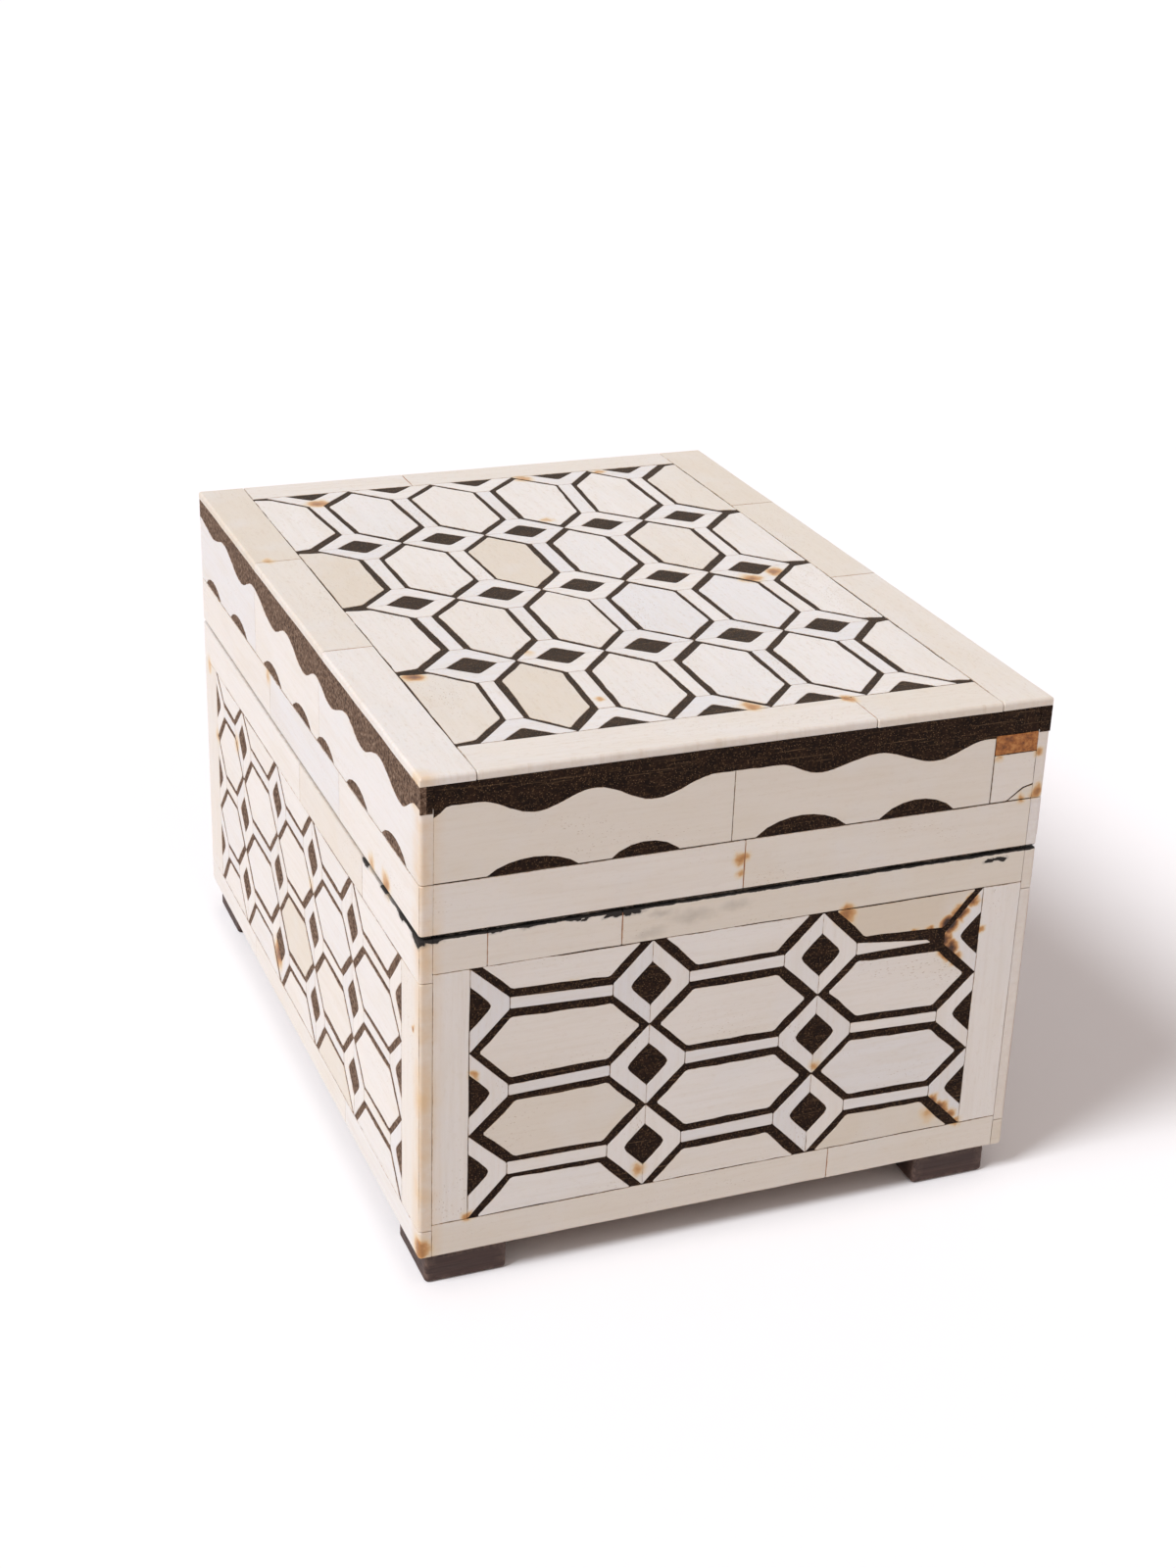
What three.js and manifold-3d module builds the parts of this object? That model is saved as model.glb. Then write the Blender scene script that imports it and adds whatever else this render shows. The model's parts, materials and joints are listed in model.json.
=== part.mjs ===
// Bone inlay box: a wooden carcass on four feet, faced on every side with pieces of bone set in
// dark resin, and closed by a lid on two brass hinges. Millimetres, +Z up, short front side to -Y.
// The inlay is laid as the maker lays it: bone pieces are glued to the wooden wall or board behind
// them, and one body of resin per face fills every line, eye and joint between them.

import * as THREE from 'three';
import { mergeVertices } from 'three/addons/utils/BufferGeometryUtils.js';
import Module from 'manifold-3d';

const wasm = await Module();
wasm.setup();

// Driving sizes of the box, measured over the bone
const boxWidth = 150;
const boxDepth = 200;
const baseHeight = 81;
const lidHeight = 37;
const seamHeight = 0.75;
const footHeight = 7.5;

// Wooden carcass
const wallThickness = 7;
const floorThickness = 6;
const lidBoardThickness = 5;
const rimGap = 0.3;

// Bone, resin and the joints between them
const sideBone = 3;
const topBone = 2;
const boneRoot = 0.5;
const topEdgeRadius = 1.2;
const topEdgeSteps = 4;
const resinSink = 0.15;
const glueLine = 0.05;
const jointWidth = 0.3;
const resinClearance = 0.05;

// Points closer together than this count as one when solids are joined
const weldDistance = 1e-4;

// Feet: plain blocks, the left pair closer to its side than the right pair
const footWidth = 19.5;
const footDepth = 20;
const footEase = 0.5;
const leftFootInset = 1.75;
const rightFootInset = 4.25;
const frontFootInset = 0.75;
const backFootInset = 2.75;

// Plain bone strips that frame the inlaid field of each face
const shortFrame = { top: 8.5, bottom: 8.5, left: 8.5, right: 10 };
const longFrame = { top: 10.5, bottom: 7, left: 13.5, right: 13 };
const topFrame = { left: 12.5, right: 13, front: 13.75, back: 11.25 };

// Fields of chained lozenges. Bars cross the gaps between the chains, hexagons fill them.
const shortField = {
  gaps: 3, links: 3, chainMargin: 0,
  lozengeWidth: 18, barWidth: 3.1, barLine: 1.5, slantLine: 1.7, eyeWidth: 9.2, eyeLength: 10.2,
};
const longField = {
  gaps: 5, links: 3, chainMargin: 0,
  lozengeWidth: 17, barWidth: 3.1, barLine: 1.4, slantLine: 1.5, eyeWidth: 8.6, eyeLength: 10.2,
};
const topField = {
  gaps: 4, links: 5, chainMargin: 5.75,
  lozengeWidth: 20, barWidth: 4, barLine: 1.1, slantLine: 1.5, eyeWidth: 10.4, eyeLength: 10.4,
};

// Wavy friezes on the lid's sides: bone strips with a wavy upper edge under a resin band, and
// lens-shaped resin fills in their lower edge under each trough
const plainStripHeight = 12.25;
const crestHeight = 17.25;
const waveDepth = 4.75;
const wavePitch = 28;
const waveSteps = 6;
const lensWidth = 18;
const lensHeight = 3.1;
const lensSteps = 4;
const shortFrieze = { stripLength: 66.5, endBlock: 11.25, firstCrest: 8 };
const longFrieze = { stripLength: 61.5, endBlock: 0, firstCrest: 0 };

// Brass hinges on the right side
const hingeLength = 24;
const hingeInset = 38;
const hingeAxisOut = 1;
const knuckleRadius = 2;
const boreRadius = 1;
const pinRadius = 0.9;
const leafReach = 9;
const leafThickness = 1;
const knuckleGap = 0.25;
const hingeSides = 12;

// Heights of the joints, from the underside of the feet up
const baseBottom = footHeight;
const rim = baseBottom + baseHeight;
const seam = rim + seamHeight / 2;
const lidBottom = rim + seamHeight;
const boxTop = lidBottom + lidHeight;
const boardTop = boxTop - topBone;
const boardBottom = boardTop - lidBoardThickness;
const floorTop = baseBottom + floorThickness;
const hingeAxisX = boxWidth / 2 + hingeAxisOut;

const colours = {
  bone: new THREE.Color(0xe6dccd),
  paleBone: new THREE.Color(0xeee7db),
  resin: new THREE.Color(0x33251d),
  wood: new THREE.Color(0x6b4a33),
  footWood: new THREE.Color(0x33201c),
  brass: new THREE.Color(0xb08d4c),
};

// Outlines

function rectangle(left, bottom, right, top) {
  return [[left, bottom], [right, bottom], [right, top], [left, top]];
}

// Moves every edge of a counter-clockwise outline outwards by a distance.
function grow(outline, distance) {
  return outline.map((corner, i) => {
    const before = outline[(i + outline.length - 1) % outline.length];
    const after = outline[(i + 1) % outline.length];
    const first = edgeNormal(before, corner);
    const second = edgeNormal(corner, after);
    const scale = distance / (1 + first[0] * second[0] + first[1] * second[1]);
    return [corner[0] + (first[0] + second[0]) * scale, corner[1] + (first[1] + second[1]) * scale];
  });
}

function edgeNormal(from, to) {
  const length = Math.hypot(to[0] - from[0], to[1] - from[1]);
  return [(to[1] - from[1]) / length, (from[0] - to[0]) / length];
}

// Two chevrons and the bar between them: the right half of one lozenge, and the left half of the
// next one along the row. The bar butts against the flats of both.
function barWithChevrons(field, fromX, toX, y, link, fromJoint, toJoint) {
  const halfWidth = field.lozengeWidth / 2;
  const halfBar = field.barWidth / 2;
  const halfLength = (link - jointWidth) / 2;
  const eyeX = field.eyeWidth / 2;
  const eyeY = field.eyeLength / 2;
  const tip = (joint) => halfLength - (halfLength - halfBar) * joint / halfWidth;
  const eye = (joint) => eyeY * (1 - joint / eyeX);
  return [
    [fromX + fromJoint, y - tip(fromJoint)],
    [fromX + halfWidth, y - halfBar],
    [toX - halfWidth, y - halfBar],
    [toX - toJoint, y - tip(toJoint)],
    [toX - toJoint, y - eye(toJoint)],
    [toX - eyeX, y],
    [toX - toJoint, y + eye(toJoint)],
    [toX - toJoint, y + tip(toJoint)],
    [toX - halfWidth, y + halfBar],
    [fromX + halfWidth, y + halfBar],
    [fromX + fromJoint, y + tip(fromJoint)],
    [fromX + fromJoint, y + eye(fromJoint)],
    [fromX + eyeX, y],
    [fromX + fromJoint, y - eye(fromJoint)],
  ];
}

// A hexagon between two chains, centred where two links of each chain touch. Its slanting edges
// run beside the lozenges at the width of the slanting resin line.
function hexagon(field, fromX, toX, y, link) {
  const halfWidth = field.lozengeWidth / 2;
  const rise = link / 2 - field.barWidth / 2;
  const slant = Math.hypot(halfWidth, rise);
  const halfHeight = rise - field.barLine;
  const tipInset = field.slantLine * slant / rise;
  const shoulderInset = tipInset + halfWidth * halfHeight / rise;
  return {
    left: [fromX + tipInset, y],
    right: [toX - tipInset, y],
    lower: [[fromX + shoulderInset, y - halfHeight], [toX - shoulderInset, y - halfHeight]],
    upper: [[toX - shoulderInset, y + halfHeight], [fromX + shoulderInset, y + halfHeight]],
  };
}

// All bone pieces of one inlaid field. x runs along the bars and y along the chains.
function fieldPieces(field, width, height) {
  const pitch = width / field.gaps;
  const link = (height - 2 * field.chainMargin) / field.links;
  const pieces = [];
  for (let gap = 0; gap < field.gaps; gap += 1) {
    const fromX = gap * pitch;
    const toX = fromX + pitch;
    const fromJoint = gap === 0 ? jointWidth : jointWidth / 2;
    const toJoint = gap === field.gaps - 1 ? jointWidth : jointWidth / 2;
    for (let row = 0; row < field.links; row += 1) {
      const y = field.chainMargin + (row + 0.5) * link;
      pieces.push(barWithChevrons(field, fromX, toX, y, link, fromJoint, toJoint));
    }
    for (let row = 0; row <= field.links; row += 1) {
      const { left, right, lower, upper } = hexagon(field, fromX, toX, field.chainMargin + row * link, link);
      if (row === 0) {
        pieces.push([...endEdge(field, left, right, jointWidth), ...upper]);
      } else if (row === field.links) {
        pieces.push([...endEdge(field, right, left, height - jointWidth), ...lower]);
      } else {
        pieces.push([left, ...lower, right, ...upper]);
      }
    }
  }
  return pieces;
}

// The straight side of a part hexagon against the frame. Where the chain stops short of the
// frame, the piece runs on past its tips, and a thin wedge of resin is left beside it.
function endEdge(field, first, last, edgeY) {
  const inward = Math.sign(last[0] - first[0]);
  if (field.chainMargin === 0) {
    return [[first[0] + inward * jointWidth, edgeY], [last[0] - inward * jointWidth, edgeY]];
  }
  const wedge = inward * field.slantLine / 2;
  return [first, [first[0] - wedge, edgeY], [last[0] + wedge, edgeY], last];
}

// The bone strips of one frieze, laid end to end. The last strip takes what length is left, up to
// the plain block at the end.
function friezePieces(frieze, length) {
  const { stripLength, endBlock } = frieze;
  const stripsEnd = length - endBlock;
  const count = Math.max(1, Math.round(stripsEnd / stripLength));
  const pieces = [];
  for (let strip = 0; strip < count; strip += 1) {
    const isFirst = strip === 0;
    const isLast = strip === count - 1;
    const left = strip * stripLength + (isFirst ? jointWidth : jointWidth / 2);
    const right = isLast ? stripsEnd - jointWidth : left + stripLength - jointWidth;
    pieces.push(waveStrip(frieze.firstCrest, left, right));
  }
  if (endBlock > 0) {
    pieces.push(rectangle(stripsEnd, jointWidth, length - jointWidth, crestHeight));
  }
  return pieces;
}

// One strip: a whole number of waves from its first crest to a crest at its right end.
function waveStrip(firstCrest, left, right) {
  const bottom = jointWidth;
  const crest = left + firstCrest;
  const waves = Math.max(1, Math.round((right - crest) / wavePitch));
  const pitch = (right - crest) / waves;
  const outline = [[left, bottom]];
  for (let wave = 0; wave < waves; wave += 1) {
    outline.push(...lensCut(crest + (wave + 0.5) * pitch, bottom));
  }
  outline.push([right, bottom]);
  const steps = Math.ceil((right - left) / pitch * waveSteps);
  for (let step = steps; step >= 0; step -= 1) {
    const x = left + (right - left) * step / steps;
    const phase = 2 * Math.PI * (x - crest) / pitch;
    outline.push([x, crestHeight - waveDepth * (1 - Math.cos(phase)) / 2]);
  }
  return outline;
}

function lensCut(centre, bottom) {
  const points = [];
  for (let step = 0; step <= lensSteps; step += 1) {
    const along = step / lensSteps;
    points.push([centre + (along - 0.5) * lensWidth, bottom + lensHeight * Math.sin(Math.PI * along)]);
  }
  return points;
}

// Solids

// A plate of an outline, from one depth to another along local +Z, with or without holes.
function plate(outline, from, to, holes = []) {
  const shape = new THREE.Shape(outline.map(([x, y]) => new THREE.Vector2(x, y)));
  shape.holes = holes.map((hole) => new THREE.Path(hole.map(([x, y]) => new THREE.Vector2(x, y))));
  const depth = to - from;
  const geometry = new THREE.ExtrudeGeometry(shape, { depth, bevelEnabled: false, curveSegments: 1 });
  return geometry.translate(0, 0, from);
}

function block(left, right, low, high, from, to) {
  return plate(rectangle(left, low, right, high), from, to);
}

function toSolid(geometry) {
  const bare = geometry.clone();
  bare.deleteAttribute('normal');
  bare.deleteAttribute('uv');
  const merged = mergeVertices(bare, weldDistance);
  const vertProperties = new Float32Array(merged.attributes.position.array);
  const triVerts = new Uint32Array(merged.index.array);
  return new wasm.Manifold(new wasm.Mesh({ numProp: 3, vertProperties, triVerts }));
}

function toGeometry(solid) {
  const { vertProperties, triVerts } = solid.getMesh();
  const indexed = new THREE.BufferGeometry();
  indexed.setAttribute('position', new THREE.BufferAttribute(new Float32Array(vertProperties), 3));
  indexed.setIndex(new THREE.BufferAttribute(new Uint32Array(triVerts), 1));
  const geometry = indexed.toNonIndexed();
  geometry.computeVertexNormals();
  return geometry;
}

function join(geometries) {
  return toGeometry(geometries.map(toSolid).reduce((whole, next) => whole.add(next)));
}

function cut(geometry, cutters) {
  return toGeometry(cutters.map(toSolid).reduce((whole, next) => whole.subtract(next), toSolid(geometry)));
}

function mesh(name, geometry, colour, { roughness = 0.5, metalness = 0 } = {}) {
  const material = new THREE.MeshStandardMaterial({ color: colour, roughness, metalness });
  const result = new THREE.Mesh(geometry, material);
  result.name = name;
  return result;
}

const boneFinish = { roughness: 0.42 };
const resinFinish = { roughness: 0.8 };
const woodFinish = { roughness: 0.7 };
const brassFinish = { roughness: 0.38, metalness: 1 };

// Wood behind the inlay shows its own colour, and the bone on it shows bone.
function inlaidMesh(name, geometry, woodFace) {
  const result = mesh(name, geometry, 0xffffff, boneFinish);
  const position = geometry.attributes.position;
  const paint = new Float32Array(position.count * 3);
  for (let corner = 0; corner < position.count; corner += 3) {
    const depth = (position.getZ(corner) + position.getZ(corner + 1) + position.getZ(corner + 2)) / 3;
    const colour = depth > woodFace + glueLine ? colours.bone : colours.wood;
    for (let i = corner; i < corner + 3; i += 1) {
      colour.toArray(paint, i * 3);
    }
  }
  geometry.setAttribute('color', new THREE.BufferAttribute(paint, 3));
  result.material.vertexColors = true;
  return result;
}

// A wooden panel with its bone pieces, and the resin between them. The panel's face is at
// woodFace, the bone's at outerFace. The pieces are rooted in the panel, and where they run on
// past its edge they lie a glue line clear of the wood beside it.
function inlay(panelOutline, panelBack, pieces, place, fieldOutline, woodFace, outerFace) {
  const root = woodFace - boneRoot;
  const moved = pieces.map((piece) => piece.map(place));
  const bone = moved.map((piece) => plate(piece, root, outerFace));
  const beside = cut(
    plate(grow(panelOutline, 2 * wallThickness), root, woodFace + glueLine),
    [plate(panelOutline, panelBack, outerFace)],
  );
  const sockets = moved.map((piece) => plate(grow(piece, resinClearance), woodFace, outerFace));
  const fill = plate(fieldOutline, woodFace + glueLine, outerFace - resinSink);
  return {
    panel: cut(join([plate(panelOutline, panelBack, woodFace), ...bone]), [beside]),
    resin: cut(fill, sockets),
  };
}

// The four sides. Each is laid out flat as seen from outside, x to the right and y up from the
// table, z out from the middle of the box, then turned to its place.

const shortSide = {
  half: boxWidth / 2 - sideBone,
  wallHalf: boxWidth / 2 - sideBone - wallThickness - glueLine,
  outerFace: boxDepth / 2,
  frame: shortFrame,
  field: shortField,
  frieze: shortFrieze,
};
const longSide = {
  half: boxDepth / 2,
  wallHalf: boxDepth / 2 - sideBone,
  outerFace: boxWidth / 2,
  frame: longFrame,
  field: longField,
  frieze: longFrieze,
};
const sides = [
  { name: 'front', turn: 0, ...shortSide },
  { name: 'right', turn: Math.PI / 2, ...longSide },
  { name: 'back', turn: Math.PI, ...shortSide },
  { name: 'left', turn: -Math.PI / 2, ...longSide },
];

// Space let into the right side for a hinge: the leaf's bed in the rim and a slot for the barrel.
function hingeCutters(centre, woodInside) {
  const clearance = knuckleGap;
  const halfLength = hingeLength / 2 + clearance;
  const slot = knuckleRadius + clearance;
  const bed = rimGap / 2 + leafThickness + glueLine;
  const inner = hingeAxisX - leafReach - clearance;
  const outside = woodInside + boxWidth;
  return [
    block(centre - halfLength, centre + halfLength, seam - bed, seam + bed, inner, outside),
    block(centre - halfLength, centre + halfLength, seam - slot, seam + slot, hingeAxisX - slot, outside),
  ];
}

const hingeCentres = [-(boxDepth / 2 - hingeInset), boxDepth / 2 - hingeInset];

function withHingeSeats(side, geometry) {
  if (side.name !== 'right') {
    return geometry;
  }
  return cut(geometry, hingeCentres.flatMap((centre) => hingeCutters(centre, side.outerFace)));
}

function baseSide(side) {
  const { half, wallHalf, outerFace, frame } = side;
  const woodFace = outerFace - sideBone;
  const stripBack = woodFace + glueLine;
  const left = -half + frame.left;
  const right = half - frame.right;
  const low = baseBottom + frame.bottom;
  const high = rim - frame.top;
  const wall = rectangle(-wallHalf, floorTop + glueLine, wallHalf, seam - rimGap / 2);
  const pieces = fieldPieces(side.field, right - left, high - low);
  const toField = ([x, y]) => [x + left, y + low];
  const opening = rectangle(left, low, right, high);
  const inside = woodFace - wallThickness;
  const { panel, resin } = inlay(wall, inside, pieces, toField, opening, woodFace, outerFace);
  const rail = (y0, y1) => block(-half, half, y0, y1, stripBack, outerFace);
  const stile = (x0, x1) => block(x0, x1, low, high, stripBack, outerFace);
  const topRail = withHingeSeats(side, rail(high + glueLine, rim));
  return [
    inlaidMesh(`base_wall_${side.name}`, withHingeSeats(side, panel), woodFace),
    mesh(`base_resin_${side.name}`, resin, colours.resin, resinFinish),
    mesh(`base_top_rail_${side.name}`, topRail, colours.bone, boneFinish),
    mesh(`base_bottom_rail_${side.name}`, rail(baseBottom, low - glueLine), colours.bone, boneFinish),
    mesh(`base_left_stile_${side.name}`, stile(-half, left - glueLine), colours.paleBone, boneFinish),
    mesh(`base_right_stile_${side.name}`, stile(right + glueLine, half), colours.paleBone, boneFinish),
  ];
}

function lidSide(side) {
  const { half, wallHalf, outerFace } = side;
  const woodFace = outerFace - sideBone;
  const friezeLow = lidBottom + plainStripHeight;
  const wall = rectangle(-wallHalf, seam + rimGap / 2, wallHalf, boardBottom - glueLine);
  const pieces = friezePieces(side.frieze, 2 * half);
  const toFrieze = ([x, y]) => [x - half, y + friezeLow];
  const band = rectangle(-half, friezeLow, half, boardTop);
  const inside = woodFace - wallThickness;
  const { panel, resin } = inlay(wall, inside, pieces, toFrieze, band, woodFace, outerFace);
  const strip = block(-half, half, lidBottom, friezeLow - glueLine, woodFace + glueLine, outerFace);
  return [
    inlaidMesh(`lid_wall_${side.name}`, withHingeSeats(side, panel), woodFace),
    mesh(`lid_resin_${side.name}`, resin, colours.resin, resinFinish),
    mesh(`lid_plain_strip_${side.name}`, withHingeSeats(side, strip), colours.paleBone, boneFinish),
  ];
}

function placeSide(side, meshes) {
  const upright = new THREE.Group();
  upright.rotation.x = Math.PI / 2;
  upright.add(...meshes);
  const turned = new THREE.Group();
  turned.rotation.z = side.turn;
  turned.add(upright);
  return turned;
}

// The lid's top, laid out as seen from above with x to the right and y to the back. Its chains
// run from left to right, so the field is laid with its axes swapped.

// A bone strip along x whose outer upper edge is rounded over, with its outer side to -y.
function topStrip(length, width, thickness) {
  const profile = new THREE.Shape();
  profile.moveTo(0, 0);
  profile.lineTo(width, 0);
  profile.lineTo(width, thickness);
  profile.lineTo(topEdgeRadius, thickness);
  profile.absarc(topEdgeRadius, thickness - topEdgeRadius, topEdgeRadius, Math.PI / 2, Math.PI, false);
  const geometry = new THREE.ExtrudeGeometry(profile, {
    depth: length,
    bevelEnabled: false,
    curveSegments: topEdgeSteps,
  });
  geometry.translate(0, 0, -length / 2);
  return geometry.applyMatrix4(new THREE.Matrix4().set(0, 0, 1, 0, 1, 0, 0, 0, 0, 1, 0, 0, 0, 0, 0, 1));
}

function lidTop() {
  const halfWidth = boxWidth / 2;
  const halfDepth = boxDepth / 2;
  const left = -halfWidth + topFrame.left;
  const right = halfWidth - topFrame.right;
  const low = -halfDepth + topFrame.front;
  const high = halfDepth - topFrame.back;
  const across = right - left;
  const boardX = halfWidth - sideBone;
  const boardY = halfDepth - sideBone;
  const board = rectangle(-boardX, -boardY, boardX, boardY);
  const swapped = fieldPieces(topField, high - low, across).map((piece) => [...piece].reverse());
  const toTop = ([x, y]) => [left + y, low + x];
  const opening = rectangle(left, low, right, high);
  const { panel, resin } = inlay(board, boardBottom, swapped, toTop, opening, boardTop, boxTop);
  const thickness = topBone - glueLine;
  const strip = (name, length, width, x, y, turn) => {
    const result = mesh(name, topStrip(length, width - glueLine, thickness), colours.paleBone, boneFinish);
    result.position.set(x, y, boardTop + glueLine);
    result.rotation.z = turn;
    return result;
  };
  return [
    inlaidMesh('lid_board', panel, boardTop),
    mesh('lid_top_resin', resin, colours.resin, resinFinish),
    strip('lid_top_strip_left', boxDepth, topFrame.left, -halfWidth, 0, -Math.PI / 2),
    strip('lid_top_strip_right', boxDepth, topFrame.right, halfWidth, 0, Math.PI / 2),
    strip('lid_top_strip_front', across, topFrame.front, (left + right) / 2, -halfDepth, 0),
    strip('lid_top_strip_back', across, topFrame.back, (left + right) / 2, halfDepth, Math.PI),
  ];
}

// Floor and feet

function baseFloor() {
  const x = boxWidth / 2 - sideBone;
  const y = boxDepth / 2 - sideBone;
  return mesh('base_floor', block(-x, x, -y, y, baseBottom, floorTop), colours.wood, woodFinish);
}

function foot(name, x, y) {
  const outline = rectangle(
    -footWidth / 2 + footEase, -footDepth / 2 + footEase, footWidth / 2 - footEase, footDepth / 2 - footEase,
  );
  const shape = new THREE.Shape(outline.map(([px, py]) => new THREE.Vector2(px, py)));
  const geometry = new THREE.ExtrudeGeometry(shape, {
    depth: footHeight - glueLine - 2 * footEase,
    bevelThickness: footEase,
    bevelSize: footEase,
    bevelSegments: 1,
  });
  geometry.translate(0, 0, footEase);
  const result = mesh(name, geometry, colours.footWood, woodFinish);
  result.position.set(x, y, 0);
  return result;
}

function feet() {
  const leftX = -boxWidth / 2 + leftFootInset + footWidth / 2;
  const rightX = boxWidth / 2 - rightFootInset - footWidth / 2;
  const frontY = -boxDepth / 2 + frontFootInset + footDepth / 2;
  const backY = boxDepth / 2 - backFootInset - footDepth / 2;
  return [
    foot('foot_front_left', leftX, frontY),
    foot('foot_front_right', rightX, frontY),
    foot('foot_back_left', leftX, backY),
    foot('foot_back_right', rightX, backY),
  ];
}

// Hinges. Each is laid out with its pin along local z and its leaves to -x, then turned so that
// the pin lies along the box's depth.

const knuckleLength = hingeLength / 3;

function circle(radius) {
  return Array.from({ length: hingeSides }, (_, i) => {
    const angle = i * 2 * Math.PI / hingeSides;
    return [radius * Math.cos(angle), radius * Math.sin(angle)];
  });
}

// A leaf: a flat plate on one side of the seam, and the knuckles that it carries.
function leaf(name, upwards, knuckles) {
  const near = upwards * rimGap / 2;
  const far = upwards * (rimGap / 2 + leafThickness);
  const low = Math.min(near, far);
  const high = Math.max(near, far);
  const plateEdge = -(knuckleRadius + knuckleGap);
  const neckEnd = -(knuckleRadius + boreRadius) / 2;
  const parts = [block(-leafReach, plateEdge, low, high, -hingeLength / 2, hingeLength / 2)];
  for (const [from, to] of knuckles) {
    parts.push(block(plateEdge - leafThickness, neckEnd, low, high, from, to));
    parts.push(plate(circle(knuckleRadius), from, to, [circle(boreRadius)]));
  }
  return mesh(name, join(parts), colours.brass, brassFinish);
}

function hinge(name, centre) {
  const half = hingeLength / 2;
  const inner = knuckleLength / 2;
  const place = (piece) => {
    piece.position.set(hingeAxisX, centre, seam);
    piece.rotation.x = Math.PI / 2;
    return piece;
  };
  const outerKnuckles = [[-half, -inner - knuckleGap], [inner + knuckleGap, half]];
  const pin = mesh(`${name}_pin`, plate(circle(pinRadius), -half, half), colours.brass, brassFinish);
  return {
    base: [place(leaf(`${name}_base_leaf`, -1, outerKnuckles)), place(pin)],
    lid: [place(leaf(`${name}_lid_leaf`, 1, [[-inner, inner]]))],
  };
}

// The whole box, with its hinge barrels inside the overall width that is centred on the origin

const base = new THREE.Group();
const lid = new THREE.Group();
base.add(baseFloor(), ...feet());
for (const side of sides) {
  base.add(placeSide(side, baseSide(side)));
  lid.add(placeSide(side, lidSide(side)));
}
lid.add(...lidTop());
for (const [name, centre] of [['hinge_front', hingeCentres[0]], ['hinge_back', hingeCentres[1]]]) {
  const parts = hinge(name, centre);
  base.add(...parts.base);
  lid.add(...parts.lid);
}

const box = new THREE.Group();
box.add(base, lid);
box.position.x = -(hingeAxisOut + knuckleRadius) / 2;

export default box;
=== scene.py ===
# %% [markdown]
# # Bone inlay box
# The box is a wooden carcass covered with bone pieces set in dark resin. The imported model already
# holds every solid at its real size, so this lesson only dresses it: each bone piece is cut as a
# hand saw leaves it, the resin gets its grain, and the wood and brass get their finish.
# Everything is in metres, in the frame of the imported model.

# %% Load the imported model
import json
import math
import random

import bmesh
import bpy
from mathutils import Matrix, Vector


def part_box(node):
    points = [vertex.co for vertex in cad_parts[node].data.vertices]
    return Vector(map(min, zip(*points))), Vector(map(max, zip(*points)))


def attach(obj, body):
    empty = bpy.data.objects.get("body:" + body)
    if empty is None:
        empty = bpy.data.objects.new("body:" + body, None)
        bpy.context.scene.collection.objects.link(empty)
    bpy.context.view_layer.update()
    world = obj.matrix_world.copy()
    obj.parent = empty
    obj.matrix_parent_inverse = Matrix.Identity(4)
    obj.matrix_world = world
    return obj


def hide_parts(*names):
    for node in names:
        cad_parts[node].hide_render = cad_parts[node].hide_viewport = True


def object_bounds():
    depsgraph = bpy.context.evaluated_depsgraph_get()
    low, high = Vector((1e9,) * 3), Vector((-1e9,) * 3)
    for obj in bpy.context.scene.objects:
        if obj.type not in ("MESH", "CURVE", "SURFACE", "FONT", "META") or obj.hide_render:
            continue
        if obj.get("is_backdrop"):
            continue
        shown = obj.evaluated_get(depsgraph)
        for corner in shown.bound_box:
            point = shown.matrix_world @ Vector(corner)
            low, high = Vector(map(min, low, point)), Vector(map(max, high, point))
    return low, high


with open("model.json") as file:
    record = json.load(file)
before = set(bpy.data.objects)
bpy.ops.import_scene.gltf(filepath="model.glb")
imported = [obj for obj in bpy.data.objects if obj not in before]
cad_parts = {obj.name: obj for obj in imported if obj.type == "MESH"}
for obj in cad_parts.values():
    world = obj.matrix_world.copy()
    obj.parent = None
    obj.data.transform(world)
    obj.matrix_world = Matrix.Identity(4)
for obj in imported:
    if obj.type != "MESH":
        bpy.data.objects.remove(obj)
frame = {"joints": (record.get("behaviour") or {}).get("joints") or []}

cad_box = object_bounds()
MM = 0.001

# %% [markdown]
# ## Where the faces are
# A craftsman lays out each face flat on the bench. The same is done here: every face has its own
# flat sheet, with x to the right and y up as seen from outside, and z out of the box. The corners
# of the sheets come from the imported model, so nothing has to be fitted afterwards.

# %% Read the main planes from the frame
def low(node):
    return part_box(node)[0]


def high(node):
    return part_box(node)[1]


left_side = low("base_top_rail_left").x
right_side = high("base_top_rail_right").x
front_side = low("base_top_rail_front").y
back_side = high("base_top_rail_back").y
base_bottom = low("base_bottom_rail_front").z
rim = high("base_top_rail_front").z
lid_bottom = low("lid_plain_strip_front").z
board_top = high("lid_resin_front").z
box_top = high("lid_board").z
side_bone = low("base_floor").y - front_side
top_bone = box_top - board_top
width = right_side - left_side
depth = back_side - front_side
print(f"body {width / MM:.1f} x {depth / MM:.1f} mm, rim at {rim / MM:.2f}, top at {box_top / MM:.2f}")


# %% Lay out the flat sheets of the five faces
def sheet(corner, right, up):
    out = right.cross(up)
    turn = Matrix((right, up, out)).transposed().to_4x4()
    return Matrix.Translation(corner) @ turn


X, Y, Z = Vector((1, 0, 0)), Vector((0, 1, 0)), Vector((0, 0, 1))
sheets = {
    "front": sheet(Vector((left_side, front_side, 0)), X, Z),
    "right": sheet(Vector((right_side, front_side, 0)), Y, Z),
    "back": sheet(Vector((right_side, back_side, 0)), -X, Z),
    "left": sheet(Vector((left_side, back_side, 0)), -Y, Z),
    "top": sheet(Vector((left_side, front_side, box_top)), X, Y),
}
for name, matrix in sheets.items():
    print(name, "faces", tuple(round(v) for v in matrix.col[2][:3]))

# %% [markdown]
# ## Camera
# The photograph was taken from a little above the box, half a metre from its front left corner.
# The camera's place and its three angles were worked out from the box's corners. The lens is given
# for a 36 mm long side, as on a common camera.

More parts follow.
